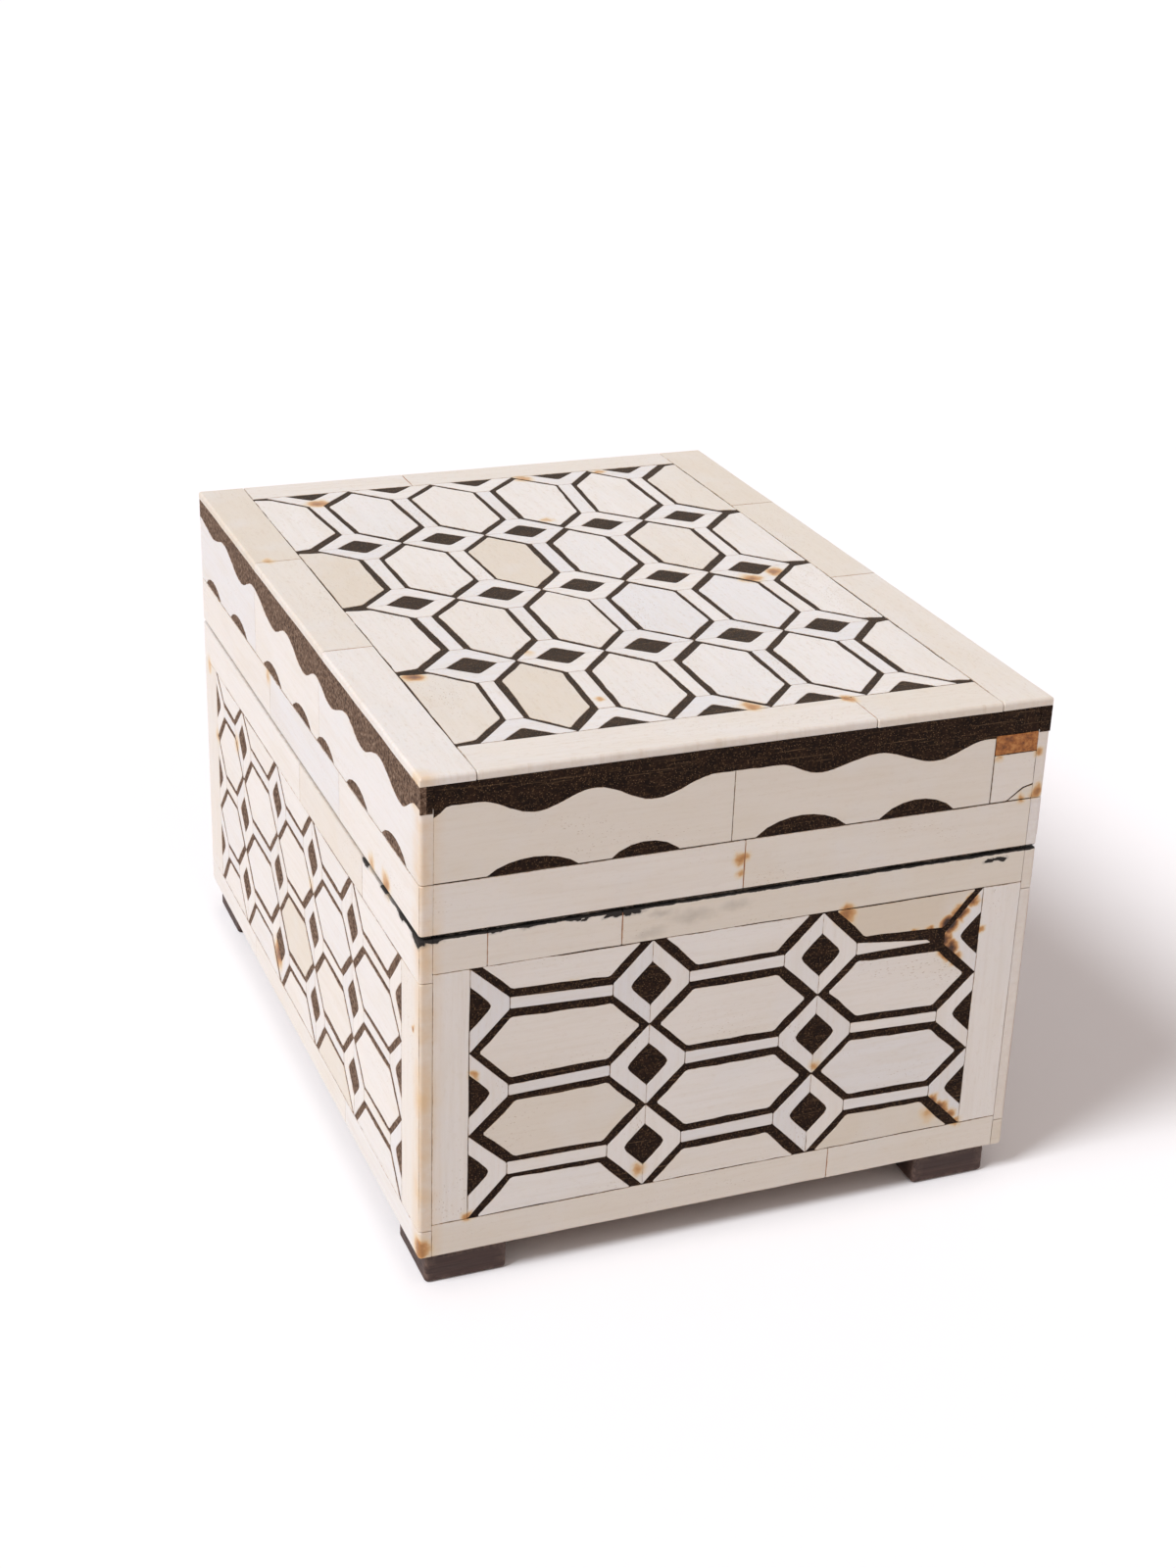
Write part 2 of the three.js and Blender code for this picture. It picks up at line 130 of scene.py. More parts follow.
# %% Set the camera
def into_scene(name, data):
    """A new object in the scene, made of a mesh, a light or a camera."""
    item = bpy.data.objects.new(name, data)
    bpy.context.scene.collection.objects.link(item)
    return item


camera_place = Vector((-0.2121, -0.5256, 0.3297))
camera_turn = math.radians(-22.09)
camera_tilt = math.radians(-24.53)
camera_roll = math.radians(1.95)

camera = into_scene("Camera", bpy.data.cameras.new("Camera"))
camera.location = camera_place
look = Matrix.Rotation(camera_turn, 4, "Z") @ Matrix.Rotation(math.pi / 2 + camera_tilt, 4, "X")
camera.rotation_euler = (look @ Matrix.Rotation(camera_roll, 4, "Z")).to_euler()
camera.data.sensor_width = 36
camera.data.lens = 55.05
camera.data.clip_start = 0.01
bpy.context.scene.camera = camera
print("camera", [round(v, 3) for v in camera.location], "lens", round(camera.data.lens, 2))

# %% [markdown]
# ## Light
# Polished bone needs large, soft light. A broad key comes from the left and above, as from a high
# window, so the top and the left side are the brightest faces. A sun lamp was chosen, because its
# light has the same strength all over the box, and its angle makes the shadows soft.

# %% Key light
key_direction = Vector((-0.64, -0.12, 0.75))

key = bpy.data.lights.new("Key", "SUN")
key.energy = 2.5
key.angle = math.radians(22)
key.color = (0.972, 0.992, 1.04)
key_holder = into_scene("Key", key)
key_holder.rotation_euler = key_direction.to_track_quat("Z", "Y").to_euler()
bpy.context.scene.view_settings.view_transform = "Standard"
print("key light", round(key.energy, 2), "from", tuple(round(v, 2) for v in key_direction))

# %% [markdown]
# The sky fills the sides that the key leaves in shade. Its light is dim and a little warm, but the
# camera and the bone's faint reflections see a plain white sky. Light Path tells the two apart.

# %% Sky
sky_light = (1.0, 0.875, 0.85, 1)
sky_strength = 0.50


def add(tree, kind, values=None, **settings):
    """A new node, with its settings, and with a value or a link for each named socket."""
    node = tree.nodes.new(kind)
    for name, value in settings.items():
        setattr(node, name, value)
    for name, value in (values or {}).items():
        socket = node.inputs[name]
        if isinstance(value, bpy.types.NodeSocket):
            tree.links.new(value, socket)
        else:
            socket.default_value = value
    return node


def maths(tree, operation, first, second=0.5):
    return add(tree, "ShaderNodeMath", {0: first, 1: second}, operation=operation).outputs[0]


world = bpy.data.worlds.new("Studio")
bpy.context.scene.world = world
world.use_nodes = True
sky = world.node_tree
sky.nodes.clear()
rays = add(sky, "ShaderNodeLightPath").outputs
seen = maths(sky, "MAXIMUM", rays["Is Camera Ray"], rays["Is Glossy Ray"])
seen = maths(sky, "MAXIMUM", seen, rays["Is Transmission Ray"])
ambient = add(sky, "ShaderNodeBackground", {"Color": sky_light, "Strength": sky_strength})
white = add(sky, "ShaderNodeBackground", {"Color": (1, 1, 1, 1), "Strength": 1.0})
shown = add(sky, "ShaderNodeMixShader", {0: seen, 1: ambient.outputs[0], 2: white.outputs[0]})
add(sky, "ShaderNodeOutputWorld", {"Surface": shown.outputs[0]})
print("sky:", len(sky.nodes), "nodes, light", sky_strength)

# %% [markdown]
# The floor is a wide pale sheet under the feet. What it throws back on the box is a little darker
# and warmer than the white that the camera sees.

# %% Floor
floor_reach = 6
floor_seen = (0.97, 0.97, 0.97, 1)
floor_thrown_back = (0.80, 0.77, 0.75, 1)

floor_mesh = bpy.data.meshes.new("floor")
floor_corners = [(x * floor_reach, y * floor_reach, 0) for x, y in ((-1, -1), (1, -1), (1, 1), (-1, 1))]
floor_mesh.from_pydata(floor_corners, [], [(0, 1, 2, 3)])
studio_floor = into_scene("studio_floor", floor_mesh)
floor_paint = bpy.data.materials.new("studio floor")
floor_paint.use_nodes = True
paint = floor_paint.node_tree.nodes["Principled BSDF"]
paint.inputs["Roughness"].default_value = 0.9
is_camera = add(floor_paint.node_tree, "ShaderNodeLightPath").outputs["Is Camera Ray"]
tint = add(floor_paint.node_tree, "ShaderNodeMix", {0: is_camera, 6: floor_thrown_back, 7: floor_seen},
           data_type="RGBA")
floor_paint.node_tree.links.new(tint.outputs[2], paint.inputs["Base Color"])
floor_mesh.materials.append(floor_paint)
studio_floor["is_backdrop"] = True
print("floor:", 2 * floor_reach, "metres square")

# %% [markdown]
# ## The look of bone
# Polished camel bone is ivory white, with faint streaks along the bone, pores like pin pricks, and
# pieces that differ in tone because they come from different bones. Here and there hot resin has
# scorched it to yellow and brown. The streaks need to run along each piece, whichever way it lies,
# so every piece carries an attribute "grain" that measures along it and across it.
# The finish is built up in layers, as a restorer would paint it, and each layer is a short
# function: first the helpers that all materials share, then the layers, then the whole.

# %% Helpers for shaders
def new_material(name):
    material = bpy.data.materials.new(name)
    material.use_nodes = True
    tree = material.node_tree
    tree.nodes.clear()
    surface = add(tree, "ShaderNodeBsdfPrincipled")
    add(tree, "ShaderNodeOutputMaterial", {"Surface": surface.outputs[0]})
    return material, tree, surface


def own_place(tree):
    return add(tree, "ShaderNodeTexCoord").outputs["Object"]


def along_axes(tree, place):
    """The x, y and z of a place, as three sockets."""
    outputs = add(tree, "ShaderNodeSeparateXYZ", {0: place}).outputs
    return outputs["X"], outputs["Y"], outputs["Z"]


def carried(tree, name, output="Fac"):
    """A value that the piece carries as an attribute."""
    return add(tree, "ShaderNodeAttribute", attribute_name=name).outputs[output]


def stretched(tree, vector, scale):
    return add(tree, "ShaderNodeMapping", {"Vector": vector, "Scale": scale}).outputs[0]


def noise(tree, vector, scale, detail=3.0, roughness=0.5):
    values = {"Vector": vector, "Scale": scale, "Detail": detail, "Roughness": roughness}
    return add(tree, "ShaderNodeTexNoise", values).outputs[0]


def between(tree, value, from_low, from_high, to_low=0.0, to_high=1.0, **settings):
    values = {"Value": value, "From Min": from_low, "From Max": from_high,
              "To Min": to_low, "To Max": to_high}
    return add(tree, "ShaderNodeMapRange", values, **settings).outputs[0]


def blend(tree, factor, first, second):
    return add(tree, "ShaderNodeMix", {0: factor, 6: first, 7: second}, data_type="RGBA").outputs[2]


def ramp(tree, value, stops):
    node = add(tree, "ShaderNodeValToRGB", {"Fac": value})
    elements = node.color_ramp.elements
    elements[0].position, elements[0].color = stops[0][0], (*stops[0][1], 1)
    elements[1].position, elements[1].color = stops[-1][0], (*stops[-1][1], 1)
    for position, colour in stops[1:-1]:
        elements.new(position).color = (*colour, 1)
    return node.outputs["Color"]


def vector_maths(tree, operation, first, second):
    values = {0: first, "Scale" if operation == "SCALE" else 1: second}
    node = add(tree, "ShaderNodeVectorMath", values, operation=operation)
    return node.outputs["Value" if operation in ("DOT_PRODUCT", "DISTANCE") else "Vector"]


def bump(tree, height, distance, strength):
    values = {"Height": height, "Distance": distance, "Strength": strength}
    return add(tree, "ShaderNodeBump", values).outputs[0]


def finish_surface(tree, surface, colour, roughness, normal):
    for name, value in (("Base Color", colour), ("Roughness", roughness), ("Normal", normal)):
        tree.links.new(value, surface.inputs[name])


# %% [markdown]
# ### Ivory
# The piece's attribute "tone" picks its colour, from yellow to white. Noise stretched along the
# grain draws the fine streaks and the broad bands, and round noise draws pale clouds.

# %% Ivory with streaks
def ivory(tree, place, grain, tone):
    colour = ramp(tree, tone, [
        (0.0, (0.665, 0.575, 0.455)), (0.3, (0.715, 0.655, 0.565)), (0.6, (0.76, 0.712, 0.648)),
        (0.85, (0.79, 0.758, 0.718)), (1.0, (0.738, 0.725, 0.717)),
    ])
    streaks = noise(tree, stretched(tree, grain, (40, 900, 1)), 1.0, 4.0, 0.6)
    colour = blend(tree, between(tree, streaks, 0.45, 0.8, 0.0, 0.27), colour, (0.62, 0.535, 0.425, 1))
    broad = noise(tree, stretched(tree, grain, (30, 130, 1)), 1.0, 2.0, 0.5)
    colour = blend(tree, between(tree, broad, 0.5, 0.8, 0.0, 0.34), colour, (0.675, 0.59, 0.465, 1))
    cloud = noise(tree, place, 75.0, 2.0, 0.5)
    return blend(tree, between(tree, cloud, 0.5, 0.75, 0.0, 0.35), colour, (0.735, 0.725, 0.712, 1))


# %% [markdown]
# ### Pores and pits
# Pores are the open ends of fine canals in the bone, so they are short strokes along the grain,
# and they come in patches. Finer pits have filled with dirt, most of all on the worn top.

# %% Pores and pits
def pore_strokes(tree, grain, edge):
    """1 in a pore and 0 beside it, with none on the sawn edges."""
    values = {"Vector": stretched(tree, grain, (700, 2200, 1)), "Scale": 1.0, "Randomness": 1.0}
    cells = add(tree, "ShaderNodeTexVoronoi", values)
    patches = noise(tree, stretched(tree, grain, (24, 70, 1)), 1.0, 2.0, 0.5)
    size = between(tree, patches, 0.46, 0.72, 0.0, 0.22)
    strokes = maths(tree, "LESS_THAN", cells.outputs["Distance"], size)
    return maths(tree, "MULTIPLY", strokes, between(tree, edge, 0.05, 0.12, 1.0, 0.0))


def dirty_pits(tree, grain, height):
    pits = noise(tree, stretched(tree, grain, (430, 1150, 1)), 1.0, 4.0, 0.7)
    worn = between(tree, height, board_top, board_top + 0.5 * MM, 0.4, 1.0)
    return maths(tree, "MULTIPLY", between(tree, pits, 0.54, 0.72, 0.0, 0.42), worn)


# %% [markdown]
# ### Stains
# Resin seeps into the sawn edges and turns them amber. The front left corner has yellowed where
# hands hold the box, so its stain depends on how far a point is from that corner.

# %% Stained edges and the held corner
def seeped(tree, place, edge):
    seep = noise(tree, place, 700.0, 3.0, 0.6)
    return maths(tree, "MULTIPLY", edge, between(tree, seep, 0.35, 0.7, 0.10, 0.85))


def held(tree, place, x, y):
    flat_place = add(tree, "ShaderNodeCombineXYZ", {"X": x, "Y": y}).outputs[0]
    from_corner = vector_maths(tree, "DISTANCE", flat_place, (left_side, front_side, 0))
    yellowed = between(tree, from_corner, 1.5 * MM, 6.0 * MM, 0.75, 0.0)
    patchy = between(tree, noise(tree, place, 90.0, 3.0, 0.6), 0.36, 0.66, 0.25, 1.0)
    return maths(tree, "MULTIPLY", yellowed, patchy)


# %% [markdown]
# ### Marks
# The scorched places and the spots of ink lie where they are on the real box. Each mark is a round
# place with a radius, and noise bends its outline, as heat and a running pen do.

# %% Marks on the bone, measured on the faces
# x from the face's left edge and y up from the feet's underside, or from the front edge on the top,
# and the radius of the mark, all in millimetres; then how strong it is, from faint yellow to black
scorch_marks = {
    "front": [
        (127.2, 68.1, 3.6, 0.84), (128.8, 71.6, 3.8, 0.88), (131.4, 74.4, 3.6, 0.78),
        (134.6, 77.4, 3.0, 0.60), (129.0, 64.9, 3.6, 0.76), (131.6, 62.4, 3.0, 0.52),
        (123.6, 70.2, 3.0, 0.66), (119.6, 70.7, 2.6, 0.48), (128.8, 23.8, 3.0, 0.58),
        (131.4, 21.4, 3.4, 0.70), (134.0, 18.9, 3.2, 0.60), (136.2, 16.8, 2.4, 0.42),
        (128.6, 20.4, 4.6, 0.30), (101.4, 78.4, 4.4, 0.46), (102.8, 75.0, 3.0, 0.30),
        (136.8, 69.0, 2.4, 0.44), (53.0, 20.5, 3.2, 0.36), (96.5, 40.0, 3.0, 0.30),
        (12.5, 53.0, 2.2, 0.34), (11.5, 17.0, 3.0, 0.45), (35.5, 72.5, 2.0, 0.30),
        (74.2, 97.0, 3.2, 0.40), (74.4, 93.4, 2.4, 0.32), (147.5, 113.0, 2.2, 0.34),
        (137.2, 112.4, 1.8, 0.30), (147.8, 103.0, 3.0, 0.44), (144.0, 101.8, 2.4, 0.34),
    ],
    "left": [
        (77.0, 22.0, 6.6, 0.50), (80.5, 25.0, 4.4, 0.40), (36.5, 66.0, 5.0, 0.28),
        (13.0, 58.5, 4.0, 0.3), (196.5, 121.8, 6.0, 0.50), (176.0, 90.5, 5.4, 0.36),
        (165.0, 90.5, 4.4, 0.30), (6.0, 77.0, 4.0, 0.28), (73.5, 100.5, 4.6, 0.26),
        (112.0, 60.0, 3.6, 0.22), (199.4, 10.0, 5.0, 0.50), (196.0, 65.0, 1.6, 0.50),
    ],
    "top": [
        (28.5, 180.0, 5.6, 0.42), (90.0, 186.5, 4.4, 0.35), (113.0, 187.0, 4.0, 0.32),
        (84.0, 150.0, 3.2, 0.3), (15.5, 53.5, 4.6, 0.52), (117.0, 92.0, 5.4, 0.46),
        (125.0, 95.0, 5.0, 0.46), (45.0, 60.0, 3.4, 0.3), (82.0, 15.5, 5.0, 0.42),
        (104.5, 12.8, 3.4, 0.42), (51.0, 29.0, 2.4, 0.3), (4.0, 138.5, 3.4, 0.3),
    ],
    "right": [
        (40.0, 62.0, 5.2, 0.4), (150.0, 24.0, 5.4, 0.45), (120.0, 118.0, 4.0, 0.3),
    ],
    "back": [
        (22.0, 70.0, 5.4, 0.45), (118.0, 24.0, 5.2, 0.4), (70.0, 96.0, 3.6, 0.3),
    ],
}
ink_marks = {
    "front": [
        (35.0, 88.4, 3.0, 1.6), (37.5, 87.8, 2.2, 1.4), (43.6, 88.3, 3.0, 1.6),
        (46.4, 87.8, 3.4, 1.7), (137.5, 87.0, 2.6, 1.5), (140.5, 87.3, 3.4, 1.7),
        (17.5, 88.4, 3.4, 1.1), (25.0, 88.5, 4.0, 1.0), (49.5, 88.3, 4.0, 1.0),
        (3.0, 88.2, 4.0, 1.2), (63.0, 84.5, 9.5, 0.36), (53.0, 82.0, 7.0, 0.32),
        (73.0, 85.5, 7.0, 0.30), (55.5, 86.5, 5.0, 0.42),
    ],
    "left": [
        (197.0, 87.9, 6.0, 1.2), (187.0, 88.2, 5.0, 1.0), (174.0, 88.3, 6.0, 1.0),
        (160.0, 88.3, 5.0, 0.9),
    ],
    "right": [
        (90.0, 87.8, 4.0, 0.7),
    ],
    "back": [
        (100.0, 87.6, 4.0, 0.8),
    ],
}


def mark_points(marks_by_face):
    return [(sheets[name] @ Vector((x * MM, y * MM, 0)), radius * MM, strength)
            for name, marks in marks_by_face.items() for x, y, radius, strength in marks]


print("marks:", len(mark_points(scorch_marks)), "scorched and", len(mark_points(ink_marks)), "darkened")


# %% Scorched places
def bent_by_heat(tree, place):
    """Every place pushed a little to one side, so that a round mark's outline wanders."""
    values = {"Vector": place, "Scale": 230.0, "Detail": 3.0, "Roughness": 0.55}
    wander = add(tree, "ShaderNodeTexNoise", values).outputs["Color"]
    pushed = vector_maths(tree, "SUBTRACT", wander, (0.5, 0.5, 0.5))
    return vector_maths(tree, "ADD", place, vector_maths(tree, "SCALE", pushed, 4.2 * MM))


def nearness(tree, place, marks_by_face, patchy, flattened=1.0):
    """From 0 far from all marks to a mark's strength at its middle. Flattened marks are low and wide."""
    total = None
    shape = Vector((1, 1, flattened))
    place = vector_maths(tree, "MULTIPLY", place, shape)
    for point, radius, strength in mark_points(marks_by_face):
        away = vector_maths(tree, "DISTANCE", place, Vector(a * b for a, b in zip(point, shape)))
        here = between(tree, away, 0.0, radius, strength, 0.0, interpolation_type="SMOOTHSTEP")
        total = here if total is None else maths(tree, "MAXIMUM", total, here)
    return maths(tree, "MULTIPLY", total, patchy)


def scorched(tree, colour, place, burnt, tone):
    """The colour with its marks. A piece whose tone is far below zero is scorched all over."""
    burnt_colour = ramp(tree, burnt, [
        (0.0, (0.76, 0.68, 0.53)), (0.18, (0.72, 0.54, 0.32)), (0.34, (0.53, 0.27, 0.10)),
        (0.50, (0.24, 0.10, 0.038)), (0.72, (0.035, 0.016, 0.010)),
    ])
    colour = blend(tree, between(tree, burnt, 0.02, 0.26), colour, burnt_colour)
    rust = ramp(tree, noise(tree, place, 620.0, 4.0, 0.7), [
        (0.34, (0.115, 0.036, 0.010)), (0.50, (0.36, 0.125, 0.026)), (0.66, (0.52, 0.235, 0.070)),
    ])
    return blend(tree, maths(tree, "LESS_THAN", tone, -0.4), colour, rust)


# %% [markdown]
# ### Black residue and painted seam shade
# A ragged black line follows the rim and the lid's lower edge. It is partly the real black residue at the
# rim and partly painted shade, standing in for the dark gap between lid and base. It is darkest at the
# outer edge and fades inwards, and along the left side it thins out behind the front corner.

# %% Residue and painted seam shade along the rim
def from_outside(tree, x, y):
    """How far a place is from the nearest side of the box."""
    nearest = None
    for value, least, most in ((x, left_side, right_side), (y, front_side, back_side)):
        for away in (maths(tree, "SUBTRACT", value, least), maths(tree, "SUBTRACT", most, value)):
            nearest = away if nearest is None else maths(tree, "MINIMUM", nearest, away)
    return nearest


def rim_residue_and_seam_shade(tree, place, x, y, height):
    ragged = noise(tree, stretched(tree, place, (330, 330, 1200)), 1.0, 4.0, 0.65)
    ragged = between(tree, ragged, 0.35, 0.75, 0.12 * MM, 0.50 * MM)
    # painted shade: the gap between rim and lid, and a thin band on either side of it, is darkened for the
    # real residue and for the gap's shade
    above_rim = maths(tree, "GREATER_THAN", maths(tree, "ADD", height, ragged), rim - 0.1 * MM)
    under_lid = maths(tree, "LESS_THAN", height, lid_bottom + 0.28 * MM)
    reach = between(tree, noise(tree, place, 300.0, 3.0, 0.6), 0.35, 0.65, 0.0, 0.9 * MM)
    fade_from_outside = maths(tree, "SUBTRACT", from_outside(tree, x, y), reach)
    fade_from_outside = between(tree, fade_from_outside, 0.5 * MM, 1.5 * MM, 1.0, 0.0)
    line = maths(tree, "MULTIPLY", maths(tree, "MULTIPLY", above_rim, under_lid), fade_from_outside)
    on_left = maths(tree, "LESS_THAN", x, left_side + 1.0 * MM)
    far_back = between(tree, y, front_side + 12 * MM, front_side + 45 * MM, 0.0, 0.8)
    kept = maths(tree, "SUBTRACT", 1.0, maths(tree, "MULTIPLY", on_left, far_back))
    return maths(tree, "MULTIPLY", line, kept)


def ink_and_seam_shade(tree, line, spots):
    """The ragged line of residue and painted seam shade together with the ink spots, each of them sharp in
    a smudge.
    """
    smudged = between(tree, spots, 0.05, 0.45, 0.0, 0.28)
    sharp = between(tree, spots, 0.50, 0.66)
    return maths(tree, "MAXIMUM", line, maths(tree, "MAXIMUM", smudged, sharp))


# %% [markdown]
# ### All layers together
# The layers are laid over each other from the bone's own colour to the ink and the painted shade of the
# seam. The polish is a little smeared, a trace of light passes under the surface, and fine scratches run
# along the bone.

# %% Bone
pore_brown, pit_brown = (0.38, 0.26, 0.155, 1), (0.56, 0.455, 0.33, 1)
edge_amber, hand_yellow = (0.42, 0.26, 0.14, 1), (0.70, 0.475, 0.235, 1)
# black of the ink spots and of the rim line, which is real residue and painted seam shade together
ink_and_seam_shade_black = (0.020, 0.016, 0.014, 1)
ink_flatness = 2.8


def make_bone():
    material, tree, surface = new_material("polished bone")
    place = own_place(tree)
    x, y, height = along_axes(tree, place)
    grain, tone, edge = carried(tree, "grain", "Vector"), carried(tree, "tone"), carried(tree, "edge")

    colour = ivory(tree, place, grain, tone)
    pores = pore_strokes(tree, grain, edge)
    colour = blend(tree, maths(tree, "MULTIPLY", pores, 0.55), colour, pore_brown)
    colour = blend(tree, dirty_pits(tree, grain, height), colour, pit_brown)
    colour = blend(tree, seeped(tree, place, edge), colour, edge_amber)
    colour = blend(tree, held(tree, place, x, y), colour, hand_yellow)

    bent = bent_by_heat(tree, place)
    patchy = between(tree, noise(tree, place, 330.0, 3.0, 0.55), 0.25, 0.75, 0.78, 1.22)
    colour = scorched(tree, colour, place, nearness(tree, bent, scorch_marks, patchy), tone)
    spots = nearness(tree, bent, ink_marks, patchy, ink_flatness)
    # ink spots and the rim line of real residue and painted seam shade
    darkened = ink_and_seam_shade(tree, rim_residue_and_seam_shade(tree, place, x, y, height), spots)
    colour = blend(tree, darkened, colour, ink_and_seam_shade_black)

    smear = noise(tree, stretched(tree, grain, (60, 260, 1)), 1.0, 4.0, 0.6)
    polish = between(tree, smear, 0.3, 0.75, 0.30, 0.50)
    roughness = maths(tree, "MAXIMUM", polish, maths(tree, "MULTIPLY", darkened, 0.85))
    scratches = noise(tree, stretched(tree, grain, (90, 1700, 1)), 1.0, 4.0, 0.7)
    relief = maths(tree, "SUBTRACT", maths(tree, "MULTIPLY", scratches, 0.4), pores)
    finish_surface(tree, surface, colour, roughness, bump(tree, relief, 0.06 * MM, 0.5))
    surface.inputs["Specular IOR Level"].default_value = 0.34
    surface.inputs["Subsurface Weight"].default_value = 0.12
    surface.inputs["Subsurface Radius"].default_value = (1.0, 0.7, 0.45)
    surface.inputs["Subsurface Scale"].default_value = 1.2 * MM
    return material


bone = make_bone()
print("bone:", len(bone.node_tree.nodes), "nodes")

# %% [markdown]
# ## The look of the resin
# The dark filling is a lacquer-like resin mixed with stone or horn dust. It is brown-black, with
# tiny pale flecks and fine sanding scratches, and it is duller than the bone beside it. Thin glue
# of a redder brown shows in the joints between the plain strips. Both are one recipe with other
# colours, so one function makes them.

# %% Resin and glue
# painted lit side: a paler, browner resin colour, laid on the left face in place of the key light's glare
def painted_lit_speckle(tree, place):
    return ramp(tree, noise(tree, place, 1150.0, 4.0, 0.75), [
        (0.36, (0.034, 0.019, 0.012)), (0.47, (0.110, 0.064, 0.041)), (0.55, (0.200, 0.128, 0.087)),
        (0.68, (0.36, 0.26, 0.185)),
    ])


def make_resin(name, dark, brown, dust, dust_share):
    material, tree, surface = new_material(name)
    place = own_place(tree)
    cloud = noise(tree, place, 330.0, 4.0, 0.65)
    colour = blend(tree, between(tree, cloud, 0.42, 0.72), dark, brown)
    fine = noise(tree, place, 1500.0, 3.0, 0.7)
    lighter = tuple(0.5 * a + 0.22 * b for a, b in zip(brown, dust))
    colour = blend(tree, between(tree, fine, 0.52, 0.68, 0.0, 0.8), colour, lighter)
    grains = add(tree, "ShaderNodeTexVoronoi", {"Vector": place, "Scale": 1900.0, "Randomness": 1.0})
    flecks = maths(tree, "LESS_THAN", grains.outputs["Distance"], dust_share)
    colour = blend(tree, maths(tree, "MULTIPLY", flecks, 0.55), colour, dust)
    values = {"Vector": place, "Rotation": (0.05, 0.03, math.radians(32)), "Scale": (70, 3800, 3800)}
    turned = add(tree, "ShaderNodeMapping", values).outputs[0]
    sanding = between(tree, noise(tree, turned, 1.0, 3.0, 0.6), 0.61, 0.72, 0.0, 0.50)
    colour = blend(tree, sanding, colour, dust)

    # the resin on the left face is painted paler and browner, a painted lit side that stands in for the key
    # light's glare on that face, and the top's resin is mixed a little towards a pale grey-brown
    x, _, height = along_axes(tree, place)
    on_left = maths(tree, "LESS_THAN", x, left_side + 1.5 * MM)
    on_top = maths(tree, "GREATER_THAN", height, board_top + 0.5 * MM)
    colour = blend(tree, maths(tree, "MULTIPLY", on_left, 0.88), colour, painted_lit_speckle(tree, place))
    colour = blend(tree, maths(tree, "MULTIPLY", on_top, 0.06), colour, (0.36, 0.30, 0.23, 1))
    finish_surface(tree, surface, colour, between(tree, fine, 0.3, 0.7, 0.55, 0.9),
                   bump(tree, fine, 0.16 * MM, 0.8))
    surface.inputs["Specular IOR Level"].default_value = 0.1
    return material


resin = make_resin("inlay resin", (0.0095, 0.0040, 0.0024, 1), (0.026, 0.0115, 0.0060, 1),
                   (0.25, 0.155, 0.085, 1), 0.21)
glue = make_resin("joint glue", (0.330, 0.140, 0.066, 1), (0.480, 0.250, 0.135, 1),
                  (0.56, 0.40, 0.26, 1), 0.1)
print("resin and glue:", len(resin.node_tree.nodes), "nodes each")

# %% [markdown]
# ## The look of the wood
# The carcass is plain reddish hardwood, seen only inside and underneath. The feet are darker and
# stained, and their edges are rubbed back to paler wood. Both woods share one recipe: growth bands
# and long fibres, measured along the board by the same "grain" attribute.

# %% Woods
def make_wood(name, dark, pale, band_scale, worn=None):
    material, tree, surface = new_material(name)
    grain = carried(tree, "grain", "Vector")
    wander = noise(tree, stretched(tree, grain, (9, 30, 30)), 1.0, 2.0)
    shift = add(tree, "ShaderNodeCombineXYZ", {"Y": maths(tree, "MULTIPLY", wander, 20 * MM)}).outputs[0]
    bent = vector_maths(tree, "ADD", grain, shift)
    bands = noise(tree, stretched(tree, bent, (4, band_scale, band_scale)), 1.0, 3.0, 0.6)
    colour = blend(tree, between(tree, bands, 0.35, 0.68), dark, pale)
    fibres = noise(tree, stretched(tree, grain, (60, 2400, 2400)), 1.0, 4.0, 0.7)
    shade = tuple(v * 0.55 for v in dark[:3]) + (1,)
    colour = blend(tree, between(tree, fibres, 0.48, 0.72, 0.0, 0.7), colour, shade)
    if worn:
        patchy = noise(tree, grain, 700.0, 4.0, 0.7)
        rubbed = maths(tree, "MULTIPLY", carried(tree, "edge"), between(tree, patchy, 0.38, 0.62))
        colour = blend(tree, rubbed, colour, worn)
    finish_surface(tree, surface, colour, between(tree, fibres, 0.3, 0.7, 0.48, 0.72),
                   bump(tree, fibres, 0.1 * MM, 0.6))
    return material


carcass_wood = make_wood("carcass wood", (0.190, 0.088, 0.044, 1), (0.330, 0.175, 0.095, 1), 130)
foot_wood = make_wood("foot wood", (0.030, 0.0135, 0.011, 1), (0.062, 0.029, 0.022, 1), 260,
                      worn=(0.20, 0.13, 0.10, 1))
print("woods:", carcass_wood.name, "and", foot_wood.name)

# %% [markdown]
# ## The look of the brass
# The hinges are rolled brass that has tarnished in patches. The patches are both browner and
# duller, so one noise drives the colour and the roughness.

# %% Brass
def make_brass():
    material, tree, surface = new_material("aged brass")
    place = own_place(tree)
    tarnish = noise(tree, place, 190.0, 5.0, 0.65)
    bright, brown = (0.66, 0.46, 0.19, 1), (0.30, 0.185, 0.075, 1)
    colour = blend(tree, between(tree, tarnish, 0.42, 0.66), bright, brown)
    rolled = noise(tree, stretched(tree, place, (2600, 120, 2600)), 1.0, 3.0)
    finish_surface(tree, surface, colour, between(tree, tarnish, 0.35, 0.7, 0.26, 0.55),
                   bump(tree, rolled, 0.03 * MM, 0.5))
    surface.inputs["Metallic"].default_value = 1.0
    return material


brass = make_brass()
print("materials:", [m.name for m in (bone, resin, glue, carcass_wood, foot_wood, brass)])

